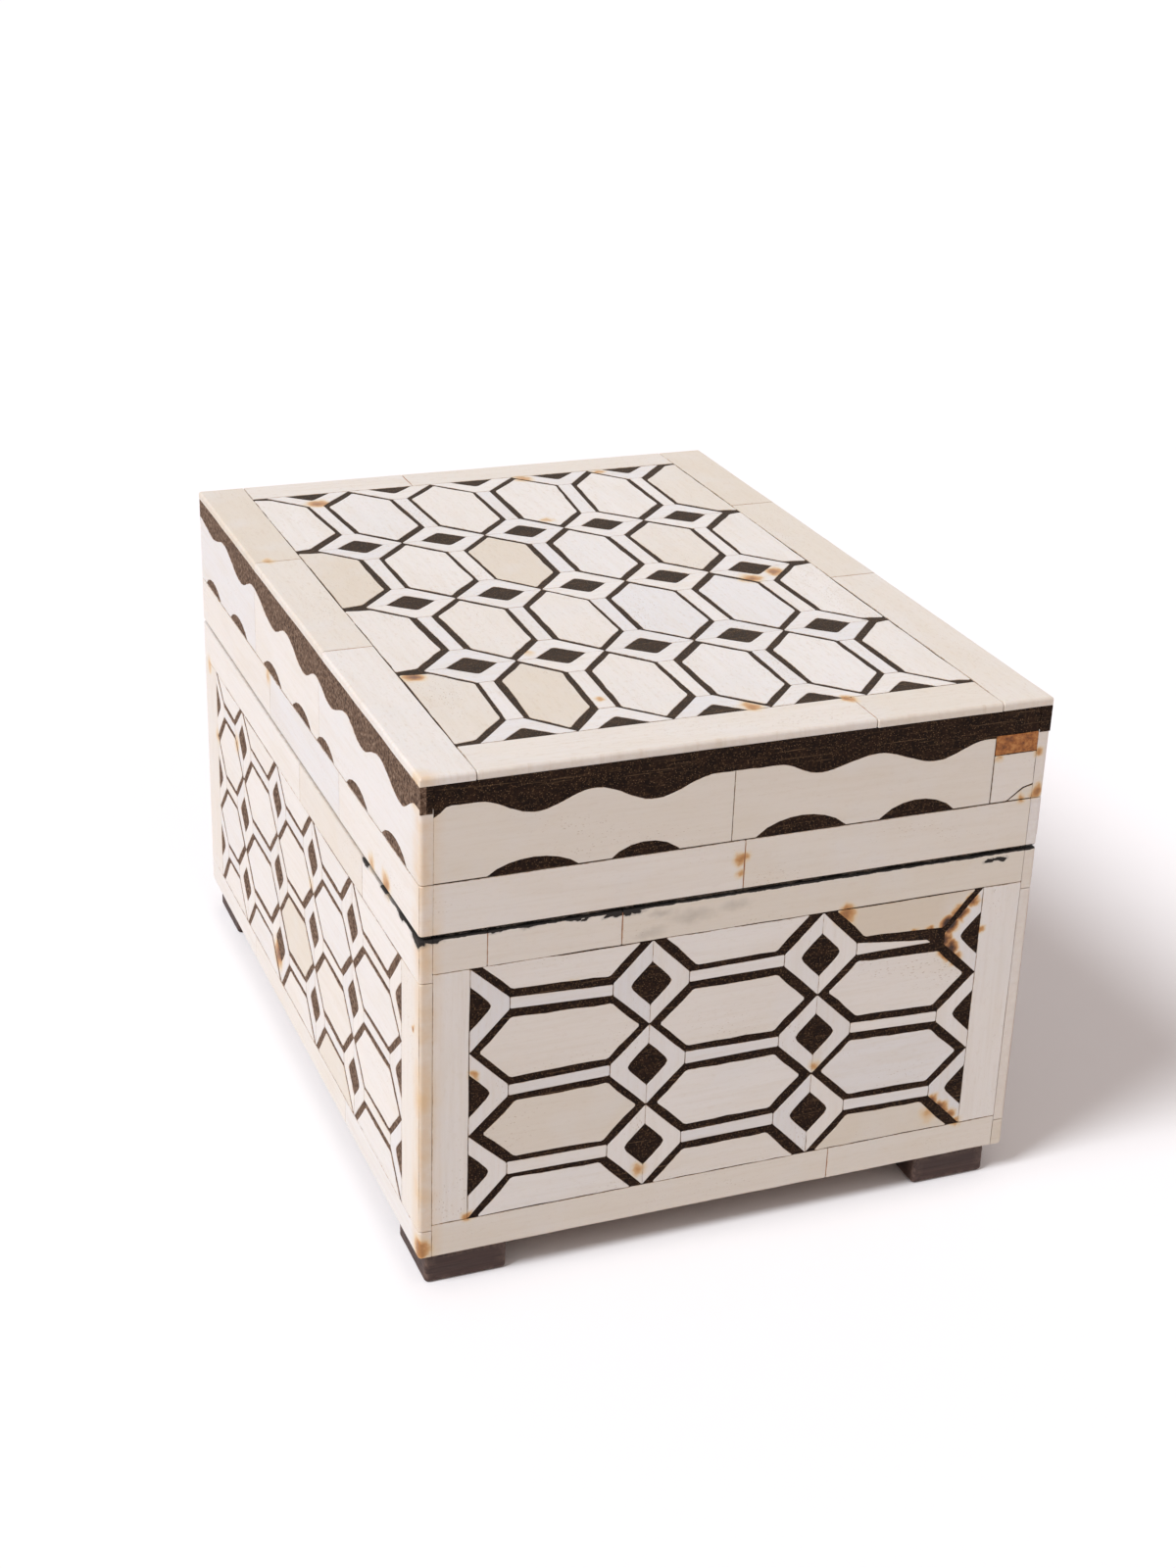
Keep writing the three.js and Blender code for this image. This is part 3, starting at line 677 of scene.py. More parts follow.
# %% [markdown]
# ## Geometry Nodes for the bone pieces
# Some three hundred and sixty flat pieces of bone cover the box. Each starts as an outline on its
# face's sheet.
# One node tree turns all outlines of a sheet into bone at once: it raises each outline to its
# thickness, rounds the upper edge, seats the piece a hair lower or leaning as a hand lays it, and
# gives it a tone of its own. The rounding follows the attributes "ease" (how much) and "inset"
# (which way in), because a box's outer corners are rounded much more than the joints.

# %% Helpers for Geometry Nodes
def new_tree(name, inputs):
    """A node tree that gives a geometry, with its inputs as (name, kind, default)."""
    tree = bpy.data.node_groups.new(name, "GeometryNodeTree")
    tree.interface.new_socket("Geometry", in_out="OUTPUT", socket_type="NodeSocketGeometry")
    for input_name, kind, default in inputs:
        socket = tree.interface.new_socket(input_name, in_out="INPUT", socket_type=f"NodeSocket{kind}")
        if default is not None:
            socket.default_value = default
    return tree, add(tree, "NodeGroupInput").outputs


def named(tree, name, kind="FLOAT"):
    return add(tree, "GeometryNodeInputNamedAttribute", {"Name": name}, data_type=kind).outputs["Attribute"]


def upwards(tree, height):
    return add(tree, "ShaderNodeCombineXYZ", {"Z": height}).outputs[0]


def pulled(tree, mesh, height, individual=True, **selection):
    """A mesh with its faces pulled out by a height, and the selection of the pulled faces."""
    values = {"Mesh": mesh, "Offset Scale": height, "Individual": individual, **selection}
    outputs = add(tree, "GeometryNodeExtrudeMesh", values, mode="FACES").outputs
    return outputs["Mesh"], outputs["Top"]


def moved(tree, geometry, offset, **selection):
    values = {"Geometry": geometry, "Offset": offset, **selection}
    return add(tree, "GeometryNodeSetPosition", values).outputs[0]


def stored(tree, geometry, name, value):
    values = {"Geometry": geometry, "Name": name, "Value": value}
    return add(tree, "GeometryNodeStoreNamedAttribute", values, data_type="FLOAT", domain="FACE").outputs[0]


def closed_below(tree, body, flat):
    """The body with the flat sheet that it was pulled from as its underside, welded shut."""
    backs = add(tree, "GeometryNodeFlipFaces", {"Mesh": flat}).outputs[0]
    joined = add(tree, "GeometryNodeJoinGeometry")
    tree.links.new(body, joined.inputs[0])
    tree.links.new(backs, joined.inputs[0])
    values = {"Geometry": joined.outputs[0], "Distance": 0.001 * MM}
    return add(tree, "GeometryNodeMergeByDistance", values).outputs[0]


def end_tree(tree, geometry, material):
    real = add(tree, "GeometryNodeRealizeInstances", {"Geometry": geometry}).outputs[0]
    dressed = add(tree, "GeometryNodeSetMaterial", {"Geometry": real, "Material": material}).outputs[0]
    add(tree, "NodeGroupOutput", {0: dressed})


# %% [markdown]
# The rounding of the upper edge is a quarter circle in a few steps: each step pulls the upper face
# out again without height, and moves it up and inwards. Chance is drawn once for each island of
# faces, so a whole piece leans one way and has one tone.

# %% The tree for bone pieces
def rounded_over(tree, body, upper, ease, inset, steps):
    """The upper faces rounded over in steps, and the selection of the faces on top."""
    for step in range(1, steps + 1):
        before, after = math.pi / 2 * (step - 1) / steps, math.pi / 2 * step / steps
        rise = math.sin(after) - math.sin(before)
        inwards = math.cos(before) - math.cos(after)
        body, upper = pulled(tree, body, 0.0, Selection=upper)
        up = upwards(tree, maths(tree, "MULTIPLY", ease, rise))
        move = vector_maths(tree, "ADD", up, vector_maths(tree, "SCALE", inset, inwards))
        body = moved(tree, body, move, Selection=upper)
    return body, upper


def random_value(tree, least, most, kind, island, seed):
    values = {"Min": least, "Max": most, "ID": island, "Seed": seed}
    node = add(tree, "FunctionNodeRandomValue", values, data_type=kind)
    return next(output for output in node.outputs if output.enabled)


def make_bone_tree(name, steps):
    tree, given = new_tree(name, (
        ("Outlines", "Geometry", None), ("Thickness", "Float", 3 * MM), ("Unevenness", "Float", 0.03 * MM),
        ("Tone spread", "Float", 0.25), ("Seed", "Int", 0), ("Bone", "Material", None),
    ))
    ease, inset = named(tree, "ease"), named(tree, "inset", "FLOAT_VECTOR")
    body, upper = pulled(tree, given["Outlines"], given["Thickness"])
    body = moved(tree, body, upwards(tree, maths(tree, "MULTIPLY", ease, -1.0)), Selection=upper)
    body, upper = rounded_over(tree, body, upper, ease, inset, steps)

    # the sides and a narrow eased edge are marked as sawn, a wide rounding isn't
    narrow = add(tree, "ShaderNodeMath", {0: 0.12 * MM, 1: ease}, operation="DIVIDE", use_clamp=True)
    narrow = narrow.outputs[0]
    sawn = maths(tree, "MULTIPLY", maths(tree, "SUBTRACT", 1.0, upper), narrow)
    piece = closed_below(tree, stored(tree, body, "edge", sawn), given["Outlines"])

    island = add(tree, "GeometryNodeInputMeshIsland").outputs["Island Index"]
    lean = random_value(tree, (-1, -1, 0), (1, 1, 0), "FLOAT_VECTOR", island, given["Seed"])
    tipped = vector_maths(tree, "DOT_PRODUCT", named(tree, "lean", "FLOAT_VECTOR"), lean)
    sunk = maths(tree, "MULTIPLY", maths(tree, "SUBTRACT", tipped, 1.5), given["Unevenness"])
    piece = moved(tree, piece, upwards(tree, sunk))
    change = random_value(tree, -1.0, 1.0, "FLOAT", island, given["Seed"])
    change = maths(tree, "MULTIPLY", change, given["Tone spread"])
    piece = stored(tree, piece, "tone", maths(tree, "ADD", named(tree, "whiteness"), change))
    end_tree(tree, piece, given["Bone"])
    return tree


tessera_tree = make_bone_tree("Bone tesserae", steps=2)
strip_tree = make_bone_tree("Bone strips", steps=4)
print("tree inputs:", [s.name for s in tessera_tree.interface.items_tree if s.in_out == "INPUT"])

# %% [markdown]
# ### From a tree to a plain mesh
# A modifier runs the tree on a start mesh. Its result is copied to a plain mesh, and the modifier
# is removed, so that what is kept no longer depends on the tree.

# %% Run a tree and keep its result
def evaluated(item):
    """What an object's modifiers make of its mesh, as a new mesh."""
    bpy.context.view_layer.update()
    graph = bpy.context.evaluated_depsgraph_get()
    return bpy.data.meshes.new_from_object(item.evaluated_get(graph), depsgraph=graph)


def run_tree(tree, start, values, matrix):
    """The mesh that the tree makes from a start mesh, moved to its place by a matrix."""
    holder = into_scene("holder", start)
    modifier = holder.modifiers.new("nodes", "NODES")
    modifier.node_group = tree
    for item in tree.interface.items_tree:
        if item.in_out == "INPUT" and item.name in values:
            modifier[item.identifier] = values[item.name]
    mesh = evaluated(holder)
    holder.modifiers.remove(modifier)
    bpy.data.objects.remove(holder)
    mesh.transform(matrix)
    return mesh


def keep(name, mesh, body, replaced=()):
    mesh.name = name
    piece = into_scene(name, mesh)
    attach(piece, body)
    if replaced:
        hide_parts(*replaced)
    print(f"{name}: {len(mesh.polygons)} faces on {body}")


# %% [markdown]
# ## Cutting the outlines
# A saw and a file leave edges that are nearly straight, and corners that are nearly sharp. Every
# outline is cut in three steps: its sides are divided and nudged by a few hundredths of a
# millimetre, its corners are nipped, and each side is told how far its upper edge is eased.

# %% Flat geometry in millimetres
joint = 0.13  # between two strips
hairline = 0.04  # between a field and its frame
plain_ease = 0.10  # how far an ordinary edge is rounded
nip_limit = 0.45  # a shorter side is a nipped corner


def side_line(start, end, inwards=0.0):
    """The line from one point to another, moved to its left, as a point and a direction."""
    start, end = Vector(start), Vector(end)
    along = (end - start).normalized()
    return start + Vector((-along.y, along.x)) * inwards, along


def meet(first, second):
    (p, d), (q, e) = first, second
    share = ((q.x - p.x) * e.y - (q.y - p.y) * e.x) / (d.x * e.y - d.y * e.x)
    return p + d * share


def area(points):
    return sum(a.x * b.y - b.x * a.y for a, b in zip(points, points[1:] + points[:1])) / 2


def hand_cut(points, rng, wobble=0.05, nip=0.22, stride=5.0):
    """The outline counter-clockwise, with nipped corners and slightly wavering sides. A nip takes
    at most three tenths of a side."""
    points = [Vector(p) for p in points]
    if area(points) < 0:
        points.reverse()
    cut = []
    for i, corner in enumerate(points):
        for other in (points[i - 1], points[(i + 1) % len(points)]):
            length = (other - corner).length
            cut.append(corner + (other - corner) * min(nip / length, 0.3))
    wavering = []
    for start, end in zip(cut, cut[1:] + cut[:1]):
        wavering.append(start)
        length = (end - start).length
        parts = int(length / stride) + 1
        across = Vector((end.y - start.y, start.x - end.x)) / max(length, 1e-6)
        for k in range(1, parts):
            wavering.append(start.lerp(end, k / parts) - across * rng.uniform(0, 2 * wobble))
    return wavering


def hand_laid(points, rng, slip=0.12, turn=0.35):
    """The outline slipped by up to slip and turned by up to turn degrees, as glued down by hand."""
    points = [Vector(p) for p in points]
    middle = sum(points, Vector((0, 0))) / len(points)
    angle = math.radians(rng.uniform(-turn, turn))
    shift = Vector((rng.uniform(-slip, slip), rng.uniform(-slip, slip)))
    return [middle + shift + Matrix.Rotation(angle, 2) @ (p - middle) for p in points]


# %% [markdown]
# An eased edge moves inwards by the same width all along. At a corner two sides meet, so the
# corner moves to where the two moved sides cross. Where they are nearly in one line it just moves
# straight in, and a sharp corner moves no more than a few times the width.

# %% Eased edges
nearly_straight = 0.05
sharpest_corner = 2.5


def real_side(points, i, step):
    """The side that meets point i, before it or after it. A nipped corner's short side is passed over."""
    a, b = points[i], points[(i + step) % len(points)]
    if (b - a).length < nip_limit:
        a, b = b, points[(i + 2 * step) % len(points)]
    return (a, b) if step > 0 else (b, a)


def edge_insets(points, ease_of):
    """For each point, how far it moves in when its two sides are eased, and how far it drops."""
    insets, drops = [], []
    for i in range(len(points)):
        sides = []
        for a, b in (real_side(points, i, -1), real_side(points, i, 1)):
            along = (b - a).normalized()
            sides.append((Vector((-along.y, along.x)), ease_of(a, b)))
        (first, r1), (second, r2) = sides
        cross = first.x * second.y - first.y * second.x
        if abs(cross) < nearly_straight:
            inset = (first + second).normalized() * max(r1, r2)
        else:
            inset = Vector((r1 * second.y - r2 * first.y, r2 * first.x - r1 * second.x)) / cross
        longest = sharpest_corner * max(r1, r2)
        insets.append(inset * min(1.0, longest / max(inset.length, 1e-9)))
        drops.append(max(r1, r2))
    return insets, drops


# %% [markdown]
# A flat sheet of outlines carries all that the tree has to know, as attributes of its points:
# "inset" and "ease" for the rounding, "lean" for the seat, "grain" and "whiteness" for the look.

# %% A sheet of outlines
def plain_edge(a, b):
    return plain_ease


def lay(outlines, thickness, ease_of=plain_edge):
    """A flat mesh of outlines. Each outline is (points in mm, grain direction, whiteness)."""
    vertices, faces = [], []
    data = {"inset": [], "ease": [], "grain": [], "lean": [], "whiteness": []}
    for number, (points, direction, whiteness) in enumerate(outlines):
        start = len(vertices)
        middle = sum(points, Vector((0, 0))) / len(points)
        reach = max((p - middle).length for p in points)
        along = Vector(direction).normalized()
        insets, drops = edge_insets(points, ease_of)
        for p, inset, drop in zip(points, insets, drops):
            vertices.append((p.x * MM, p.y * MM, -thickness))
            data["inset"].append((inset.x * MM, inset.y * MM, 0))
            data["ease"].append(drop * MM)
            data["lean"].append(((p.x - middle.x) / reach, (p.y - middle.y) / reach, 0))
            across = (p.x * along.y - p.y * along.x) * MM
            data["grain"].append((p.dot(along) * MM + number * 0.37, across, number * 1.3))
            data["whiteness"].append(whiteness)
        faces.append(tuple(range(start, len(vertices))))
    mesh = bpy.data.meshes.new("layout")
    mesh.from_pydata(vertices, [], faces)
    for name, values in data.items():
        carry(mesh, name, values)
    return mesh


def carry(mesh, name, values):
    """Gives every point of a mesh its value or vector."""
    is_vector = isinstance(values[0], tuple)
    flat = [v for value in values for v in value] if is_vector else values
    attribute = mesh.attributes.new(name, "FLOAT_VECTOR" if is_vector else "FLOAT", "POINT")
    attribute.data.foreach_set("vector" if is_vector else "value", flat)


# %% [markdown]
# The bone stops a hair short of the board behind it, and every piece is seated up to a few
# hundredths of a millimetre deeper or higher than its neighbours.

# %% Bone from a sheet of outlines
behind_bone = 0.05 * MM
side_piece = side_bone - behind_bone
top_piece = top_bone - behind_bone
seat_unevenness = 0.03 * MM
mosaic_spread, border_spread, frieze_spread = 0.10, 0.12, 0.15


def bone_mesh(tree, outlines, face, seed, tone_spread, ease_of=plain_edge):
    """The outlines on a face's sheet, made into bone by a tree."""
    thickness = top_piece if face == "top" else side_piece
    values = {"Thickness": thickness, "Unevenness": seat_unevenness, "Tone spread": tone_spread,
              "Seed": seed, "Bone": bone}
    return run_tree(tree, lay(outlines, thickness, ease_of), values, sheets[face])


print(f"bone {side_piece / MM:.2f} mm thick on the sides and {top_piece / MM:.2f} mm on the top")

# %% [markdown]
# ## The field of chained lozenges
# The field is a lattice: chains of lozenges that touch tip to tip, bars that tie neighbouring
# chains together, and hexagons that fill the gaps. On the real box a lozenge is two chevrons glued
# round a resin eye. The whole lattice follows from where the lozenges' centres are, and those are
# read off the photograph, so each crooked bar comes out as crooked as it is.
# One function builds every field: u runs along the bars and v along the chains.

# %% Chevrons and bars
chevron_whiteness = 0.92
bar_whiteness = (0.82, 1.0)
bar_slip = 0.15
bar_widths = (0.86, 1.08)
chevron_seam = 0.012


def chevron(u, v, tip_from, tip_to, side, sizes):
    """Half a lozenge round half an eye, on the side +1 or -1 of its centre (u, v)."""
    half, flat = sizes["lozenge"] / 2, sizes["bar"] / 2
    eye_u, eye_v = sizes["eye"][0] / 2, sizes["eye"][1] / 2
    softness = sizes["softness"]
    seam = u + side * chevron_seam
    shoulder, shoulder_v = u + side * eye_u * (1 - softness), eye_v * softness * 1.25
    return [
        (seam, tip_from + joint / 2), (u + side * half, v - flat), (u + side * half, v + flat),
        (seam, tip_to - joint / 2), (seam, v + eye_v), (shoulder, v + shoulder_v),
        (u + side * eye_u * (1 - softness * 0.3), v), (shoulder, v - shoulder_v), (seam, v - eye_v),
    ]


def bar(here, there, sizes, rng, is_pointed=False):
    """The bar from one lozenge to the next. A pointed one stops short and runs out to a tip."""
    half, thick = sizes["lozenge"] / 2 + joint, sizes["bar"] / 2
    (u1, v1), (u2, v2) = here, there
    v1, v2 = v1 + rng.uniform(-bar_slip, bar_slip), v2 + rng.uniform(-bar_slip, bar_slip)
    t1, t2 = thick * rng.uniform(*bar_widths), thick * rng.uniform(*bar_widths)
    far_end = [(u2 - half, v2 - t2), (u2 - half, v2 + t2)]
    if is_pointed:
        far_end = [(u2 - half - 3.5, v2 - 0.5), (u2 - half - 4.5, v2 + 0.3)]
    return [(u1 + half, v1 - t1), *far_end, (u1 + half, v1 + t1)]


# %% [markdown]
# ### Hexagons
# A hexagon has no size of its own: it fills what the lozenges and bars round it leave, less a line
# of resin. So each of its sides is a neighbour's side moved inwards, and its corners are where
# these lines meet. Beside the edge of the field the hexagon is cut off straight, and on the top it
# ends in a thin wedge of resin there.

# %% Hexagons
def hexagon(left, right, left_tips, right_tips, row, ends, sizes, rng):
    """The piece between two chains, where links row - 1 and row touch."""
    half, flat = sizes["lozenge"] / 2, sizes["bar"] / 2
    start, end = ends
    left_u, right_u = left[0][0], right[0][0]
    tip_l, tip_r = (left_u, left_tips[row]), (right_u, right_tips[row])
    wedge_end, wedge_tip = sizes["wedge"]
    has_wedge = wedge_tip > 0

    def slant(a, b):
        rises = (b[0] - a[0]) * (b[1] - a[1]) > 0
        return side_line(a, b, rng.uniform(*sizes["rising line" if rises else "falling line"]))

    def level(a, b):
        return side_line(a, b, rng.uniform(*sizes["bar line"]))

    def beside(tip, shoulder, next_shoulder, next_tip):
        return [slant(tip, shoulder), level(shoulder, next_shoulder), slant(next_shoulder, next_tip)]

    sides = []
    if row > 0:
        v_l, v_r = left[row - 1][1] + flat, right[row - 1][1] + flat
        sides += beside(tip_l, (left_u + half, v_l), (right_u - half, v_r), tip_r)
    else:
        sides.append(side_line((left_u, start), (right_u, start), hairline))
        if has_wedge:
            sides.append(side_line((right_u - wedge_end, start), (right_u - wedge_tip, tip_r[1])))
    if row < len(left):
        v_l, v_r = left[row][1] - flat, right[row][1] - flat
        sides += beside(tip_r, (right_u - half, v_r), (left_u + half, v_l), tip_l)
        if has_wedge and row == 0:
            sides.append(side_line((left_u + wedge_tip, tip_l[1]), (left_u + wedge_end, start)))
    else:
        if has_wedge:
            sides.append(side_line((right_u - wedge_tip, tip_r[1]), (right_u - wedge_end, end)))
        sides.append(side_line((right_u, end), (left_u, end), hairline))
        if has_wedge:
            sides.append(side_line((left_u + wedge_end, end), (left_u + wedge_tip, tip_l[1])))
    return [meet(first, second) for first, second in zip(sides, sides[1:] + sides[:1])]


# %% [markdown]
# ### A whole field
# The pieces are cut gap by gap and row by row. Hexagons are the loosest of them: they slip and
# turn, and their corners are nipped most.

# %% All outlines of a field
def piece_tone(rng):
    """Most pieces are white bone, and about one in five is yellower."""
    return rng.uniform(0.15, 0.40) if rng.random() < 0.22 else rng.uniform(0.68, 0.95)


def link_tips(chain, ends, sizes):
    """Where the links of a chain begin and end. With wedges, the last ones stop short of the edge."""
    inner = [(a[1] + b[1]) / 2 for a, b in zip(chain, chain[1:])]
    first, last = ends
    if sizes["wedge"][1] > 0:
        first, last = chain[0][1] - sizes["length"] / 2, chain[-1][1] + sizes["length"] / 2
    return [first, *inner, last]


def field_outlines(chains, ends, sizes, rng, pointed=()):
    """Every outline of a field. chains holds lists of lozenge centres (u, v), v rising. pointed
    names the bars, as (gap, row), that run out to a point."""
    tips = [link_tips(chain, ends, sizes) for chain in chains]
    along, across = (1, 0), (0, 1)
    outlines = []
    for gap, (left, right, left_tips, right_tips) in enumerate(zip(chains, chains[1:], tips, tips[1:])):
        for row, (here, there) in enumerate(zip(left, right)):
            for (u, v), own_tips, side in ((here, left_tips, 1), (there, right_tips, -1)):
                shape = chevron(u, v, own_tips[row], own_tips[row + 1], side, sizes)
                outlines.append((hand_cut(shape, rng), across, chevron_whiteness))
            shape = bar(here, there, sizes, rng, (gap, row) in pointed)
            outlines.append((hand_cut(shape, rng), along, rng.uniform(*bar_whiteness)))
        for row in range(len(left) + 1):
            shape = hexagon(left, right, left_tips, right_tips, row, ends, sizes, rng)
            shape = hand_cut(hand_laid(shape, rng), rng, wobble=0.12, nip=0.42, stride=4.0)
            outlines.append((shape, along, piece_tone(rng)))
    return outlines


def swapped(outlines):
    """The same outlines with x and y exchanged, still counter-clockwise."""
    return [([Vector((p.y, p.x)) for p in reversed(points)], (direction[1], direction[0]), whiteness)
            for points, direction, whiteness in outlines]


# %% [markdown]
# ## Where the lozenges are
# The centres of the lozenges, chain by chain, as they lie on the real box: x from the face's left
# edge, and height below the rim, in millimetres. The right side and the back aren't in the
# photograph, so their chains are evenly spaced, with the same small wanderings. On the top the
# chains run from left to right, so y stands first there, and the field is laid with x and y
# exchanged.

# %% The fields' layout
# Sizes in millimetres; a line of resin lies between its two widths. The softness is how round an
# eye is, and a wedge is as wide at the edge of the field, and at its tip, as it says.
short_sizes = {
    "lozenge": 18.2, "bar": 3.0, "eye": (10.2, 11.0), "softness": 0.16, "wedge": (0, 0),
    "bar line": (1.1, 2.1), "rising line": (1.5, 2.4), "falling line": (1.4, 2.3),
}
long_sizes = {
    **short_sizes, "lozenge": 17.2, "eye": (9.4, 10.8),
    "bar line": (0.9, 1.6), "rising line": (1.4, 2.2), "falling line": (0.8, 1.3),
}
top_sizes = {
    "lozenge": 20.4, "bar": 4.0, "eye": (10.6, 12.4), "softness": 0.10, "wedge": (1.1, 2.0), "length": 22.9,
    "bar line": (0.75, 1.6), "rising line": (1.4, 2.3), "falling line": (0.8, 1.25),
}


def to_sheet(name, node):
    """The lowest and highest corner of a node on a face's sheet, in millimetres."""
    inverse = sheets[name].inverted()
    corners = [inverse @ Vector(c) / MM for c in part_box(node)]
    return [Vector(f(c[i] for c in corners) for i in range(3)) for f in (min, max)]


def field_of(name):
    """The field's left, right, lower and upper edge on its sheet, in millimetres."""
    lowest, highest = to_sheet(name, "lid_top_resin" if name == "top" else f"base_resin_{name}")
    return lowest.x, highest.x, lowest.y, highest.y


rim_mm = rim / MM
front_chains = [
    (None, (18.5, 40.5, 61.0)), (54.0, (19.4, 40.2, 61.5)), (95.8, (19.3, 40.2, 61.3)),
    (None, (20.4, 41.2, 61.7)),
]
left_chains = [
    (None, (19.0, 40.9, 62.1)), (43.4, (19.6, 41.0, 62.2)), (79.8, (20.4, 41.0, 62.3)),
    (113.9, (20.9, 40.8, 62.0)), (148.6, (21.4, 41.6, 62.9)), (None, (21.9, 41.2, 62.6)),
]
top_chains = [
    (None, (29.2, 50.8, 74.0, 97.7, 121.3)), (56.3, (30.3, 52.1, 74.0, 97.7, 120.8)),
    (99.5, (29.4, 52.6, 74.2, 97.4, 120.2)), (143.0, (29.4, 52.1, 74.8, 96.8, 120.8)),
    (None, (27.6, 51.1, 75.0, 99.4, 120.8)),
]


def side_chains(name, measured):
    left, right, _, _ = field_of(name)
    places = [left, *(x for x, _ in measured[1:-1]), right]
    return [sorted((x, rim_mm - y) for y in ys) for x, (_, ys) in zip(places, measured)]


def top_side_chains(measured):
    _, _, bottom, top = field_of("top")
    places = [bottom, *(y for y, _ in measured[1:-1]), top]
    return [[(y, x) for x in xs] for y, (_, xs) in zip(places, measured)]


def even_chains(name, gaps, links, rng, stray=0.7, height_stray=0.6):
    left, right, bottom, top = field_of(name)
    chains = []
    for k in range(gaps + 1):
        x = left + (right - left) * k / gaps + (rng.uniform(-stray, stray) if 0 < k < gaps else 0)
        middles = [bottom + (top - bottom) * (row + 0.5) / links for row in range(links)]
        chains.append([(x, y + rng.uniform(-height_stray, height_stray)) for y in middles])
    return chains


rng = random.Random(2611)
field_plans = {
    "front": (side_chains("front", front_chains), short_sizes, [(2, 2)]),
    "left": (side_chains("left", left_chains), long_sizes, []),
    "back": (even_chains("back", 3, 3, rng), short_sizes, []),
    "right": (even_chains("right", 5, 3, rng), long_sizes, []),
}
fields = {}
for name, (chains, sizes, pointed_bars) in field_plans.items():
    _, _, bottom, top = field_of(name)
    fields[name] = field_outlines(chains, (bottom, top), sizes, rng, pointed_bars)
left, right, _, _ = field_of("top")
fields["top"] = swapped(field_outlines(top_side_chains(top_chains), (left, right), top_sizes, rng))
print("pieces per field:", {name: len(outlines) for name, outlines in fields.items()})

# %% [markdown]
# ## Plain strips of the base
# Bone comes in short lengths, so each border is pieced together from strips with thin glue
# joints. The strips of the long sides run through to the corners and cover the ends of the short
# sides' strips, and their outer corners are rounded by handling.

# %% Border strips
def plank(left, right, bottom, top, rng, whiteness=0.55, notches=()):
    """A straight strip. Notches are (from, to, depth) in its upper edge, for the hinges."""
    upper = []
    for start, end, depth in notches:
        upper += [(start, top), (start, top - depth), (end, top - depth), (end, top)]
    shape = [(right, bottom), *reversed([(left, top), *upper, (right, top)]), (left, bottom)]
    shape = hand_cut(shape, rng, wobble=0.06, nip=0.2, stride=7)
    direction = (1, 0) if right - left > top - bottom else (0, 1)
    return shape, direction, whiteness + rng.uniform(-0.25, 0.25)


def planks(cuts, bottom, top, rng, whiteness=0.55, notches=()):
    """A row of strips, with a joint at each cut."""
    row = []
    for start, end in zip(cuts, cuts[1:]):
        own = [n for n in notches if start < n[0] and n[1] < end]
        row.append(plank(start + joint / 2, end - joint / 2, bottom, top, rng, whiteness, own))
    return row


def stiles(cuts, left, right, rng, whiteness):
    """A column of strips, with a joint at each cut."""
    return [plank(left, right, start + joint / 2, end - joint / 2, rng, whiteness)
            for start, end in zip(cuts, cuts[1:])]


strip_tone = {"front": 0.45, "left": 0.8, "back": 0.55, "right": 0.6}
short_ends, long_ends = (side_bone / MM, (width - side_bone) / MM), (0.0, depth / MM)
side_ends = {"front": short_ends, "left": long_ends, "back": short_ends, "right": long_ends}
rail_cuts = {
    "front": ((15.3, 46.4), (101.9,)), "left": ((103.0, 157.0), (52.0, 140.5)),
    "back": ((61.0, 118.5), (43.0, 97.0)), "right": ((66.5, 128.0), (84.0, 149.0)),
}
stile_tone = 0.8
base_bottom_mm, lid_bottom_mm = base_bottom / MM, lid_bottom / MM
width_mm, depth_mm = width / MM, depth / MM

hinge_names = ("hinge_front", "hinge_back")
leaf_clearance, leaf_notch = 0.25, 1.9
hinge_notches = []
for hinge in hinge_names:
    start, end = to_sheet("right", f"{hinge}_base_leaf")
    hinge_notches.append((start.x - leaf_clearance, end.x + leaf_clearance, leaf_notch))

base_strips = {}
for name in ("front", "right", "back", "left"):
    left, right, bottom, top = field_of(name)
    first, last = side_ends[name]
    upper_cuts, lower_cuts = rail_cuts[name]
    notches = hinge_notches if name == "right" else ()
    base_strips[name] = [
        *planks((first, *upper_cuts, last), top + hairline, rim_mm, rng, strip_tone[name], notches),
        *planks((first, *lower_cuts, last), base_bottom_mm, bottom - hairline, rng, strip_tone[name]),
        *stiles((bottom, top), first + joint / 2, left - hairline, rng, stile_tone),
        *stiles((bottom, top), right + hairline, last - joint / 2, rng, stile_tone),
    ]
print("base strips:", {name: len(strips) for name, strips in base_strips.items()})

# %% [markdown]
# Handling rounds the strips most along the box's upright corners, and a little at the rim and the
# foot. Each side wall then gives two pieces for the base: its mosaic and its border.

# %% Mosaic and border of the base
corner_ease, rim_ease, foot_ease = 0.8, 0.3, 0.35
near = 0.3


def side_ease(name):
    """How far the strips of a side are eased. A long side's strips also form the box's corners."""
    is_long = name in ("left", "right")

    def ease(a, b):
        if is_long and (max(a.x, b.x) < near or min(a.x, b.x) > depth_mm - near):
            return corner_ease
        if abs(a.y - b.y) < near:
            if abs(a.y - rim_mm) < near:
                return rim_ease
            if abs(a.y - base_bottom_mm) < near or abs(a.y - lid_bottom_mm) < near:
                return foot_ease
        return plain_ease

    return ease


side_walls = ("front", "right", "back", "left")
border_kinds = ("top_rail", "bottom_rail", "left_stile", "right_stile")
for seed, name in enumerate(side_walls, 1):
    mesh = bone_mesh(tessera_tree, fields[name], name, seed, mosaic_spread)
    keep(f"base_mosaic_{name}", mesh, "base", [f"base_wall_{name}"])
    mesh = bone_mesh(strip_tree, base_strips[name], name, seed, border_spread, side_ease(name))
    keep(f"base_border_{name}", mesh, "base", [f"base_{kind}_{name}" for kind in border_kinds])

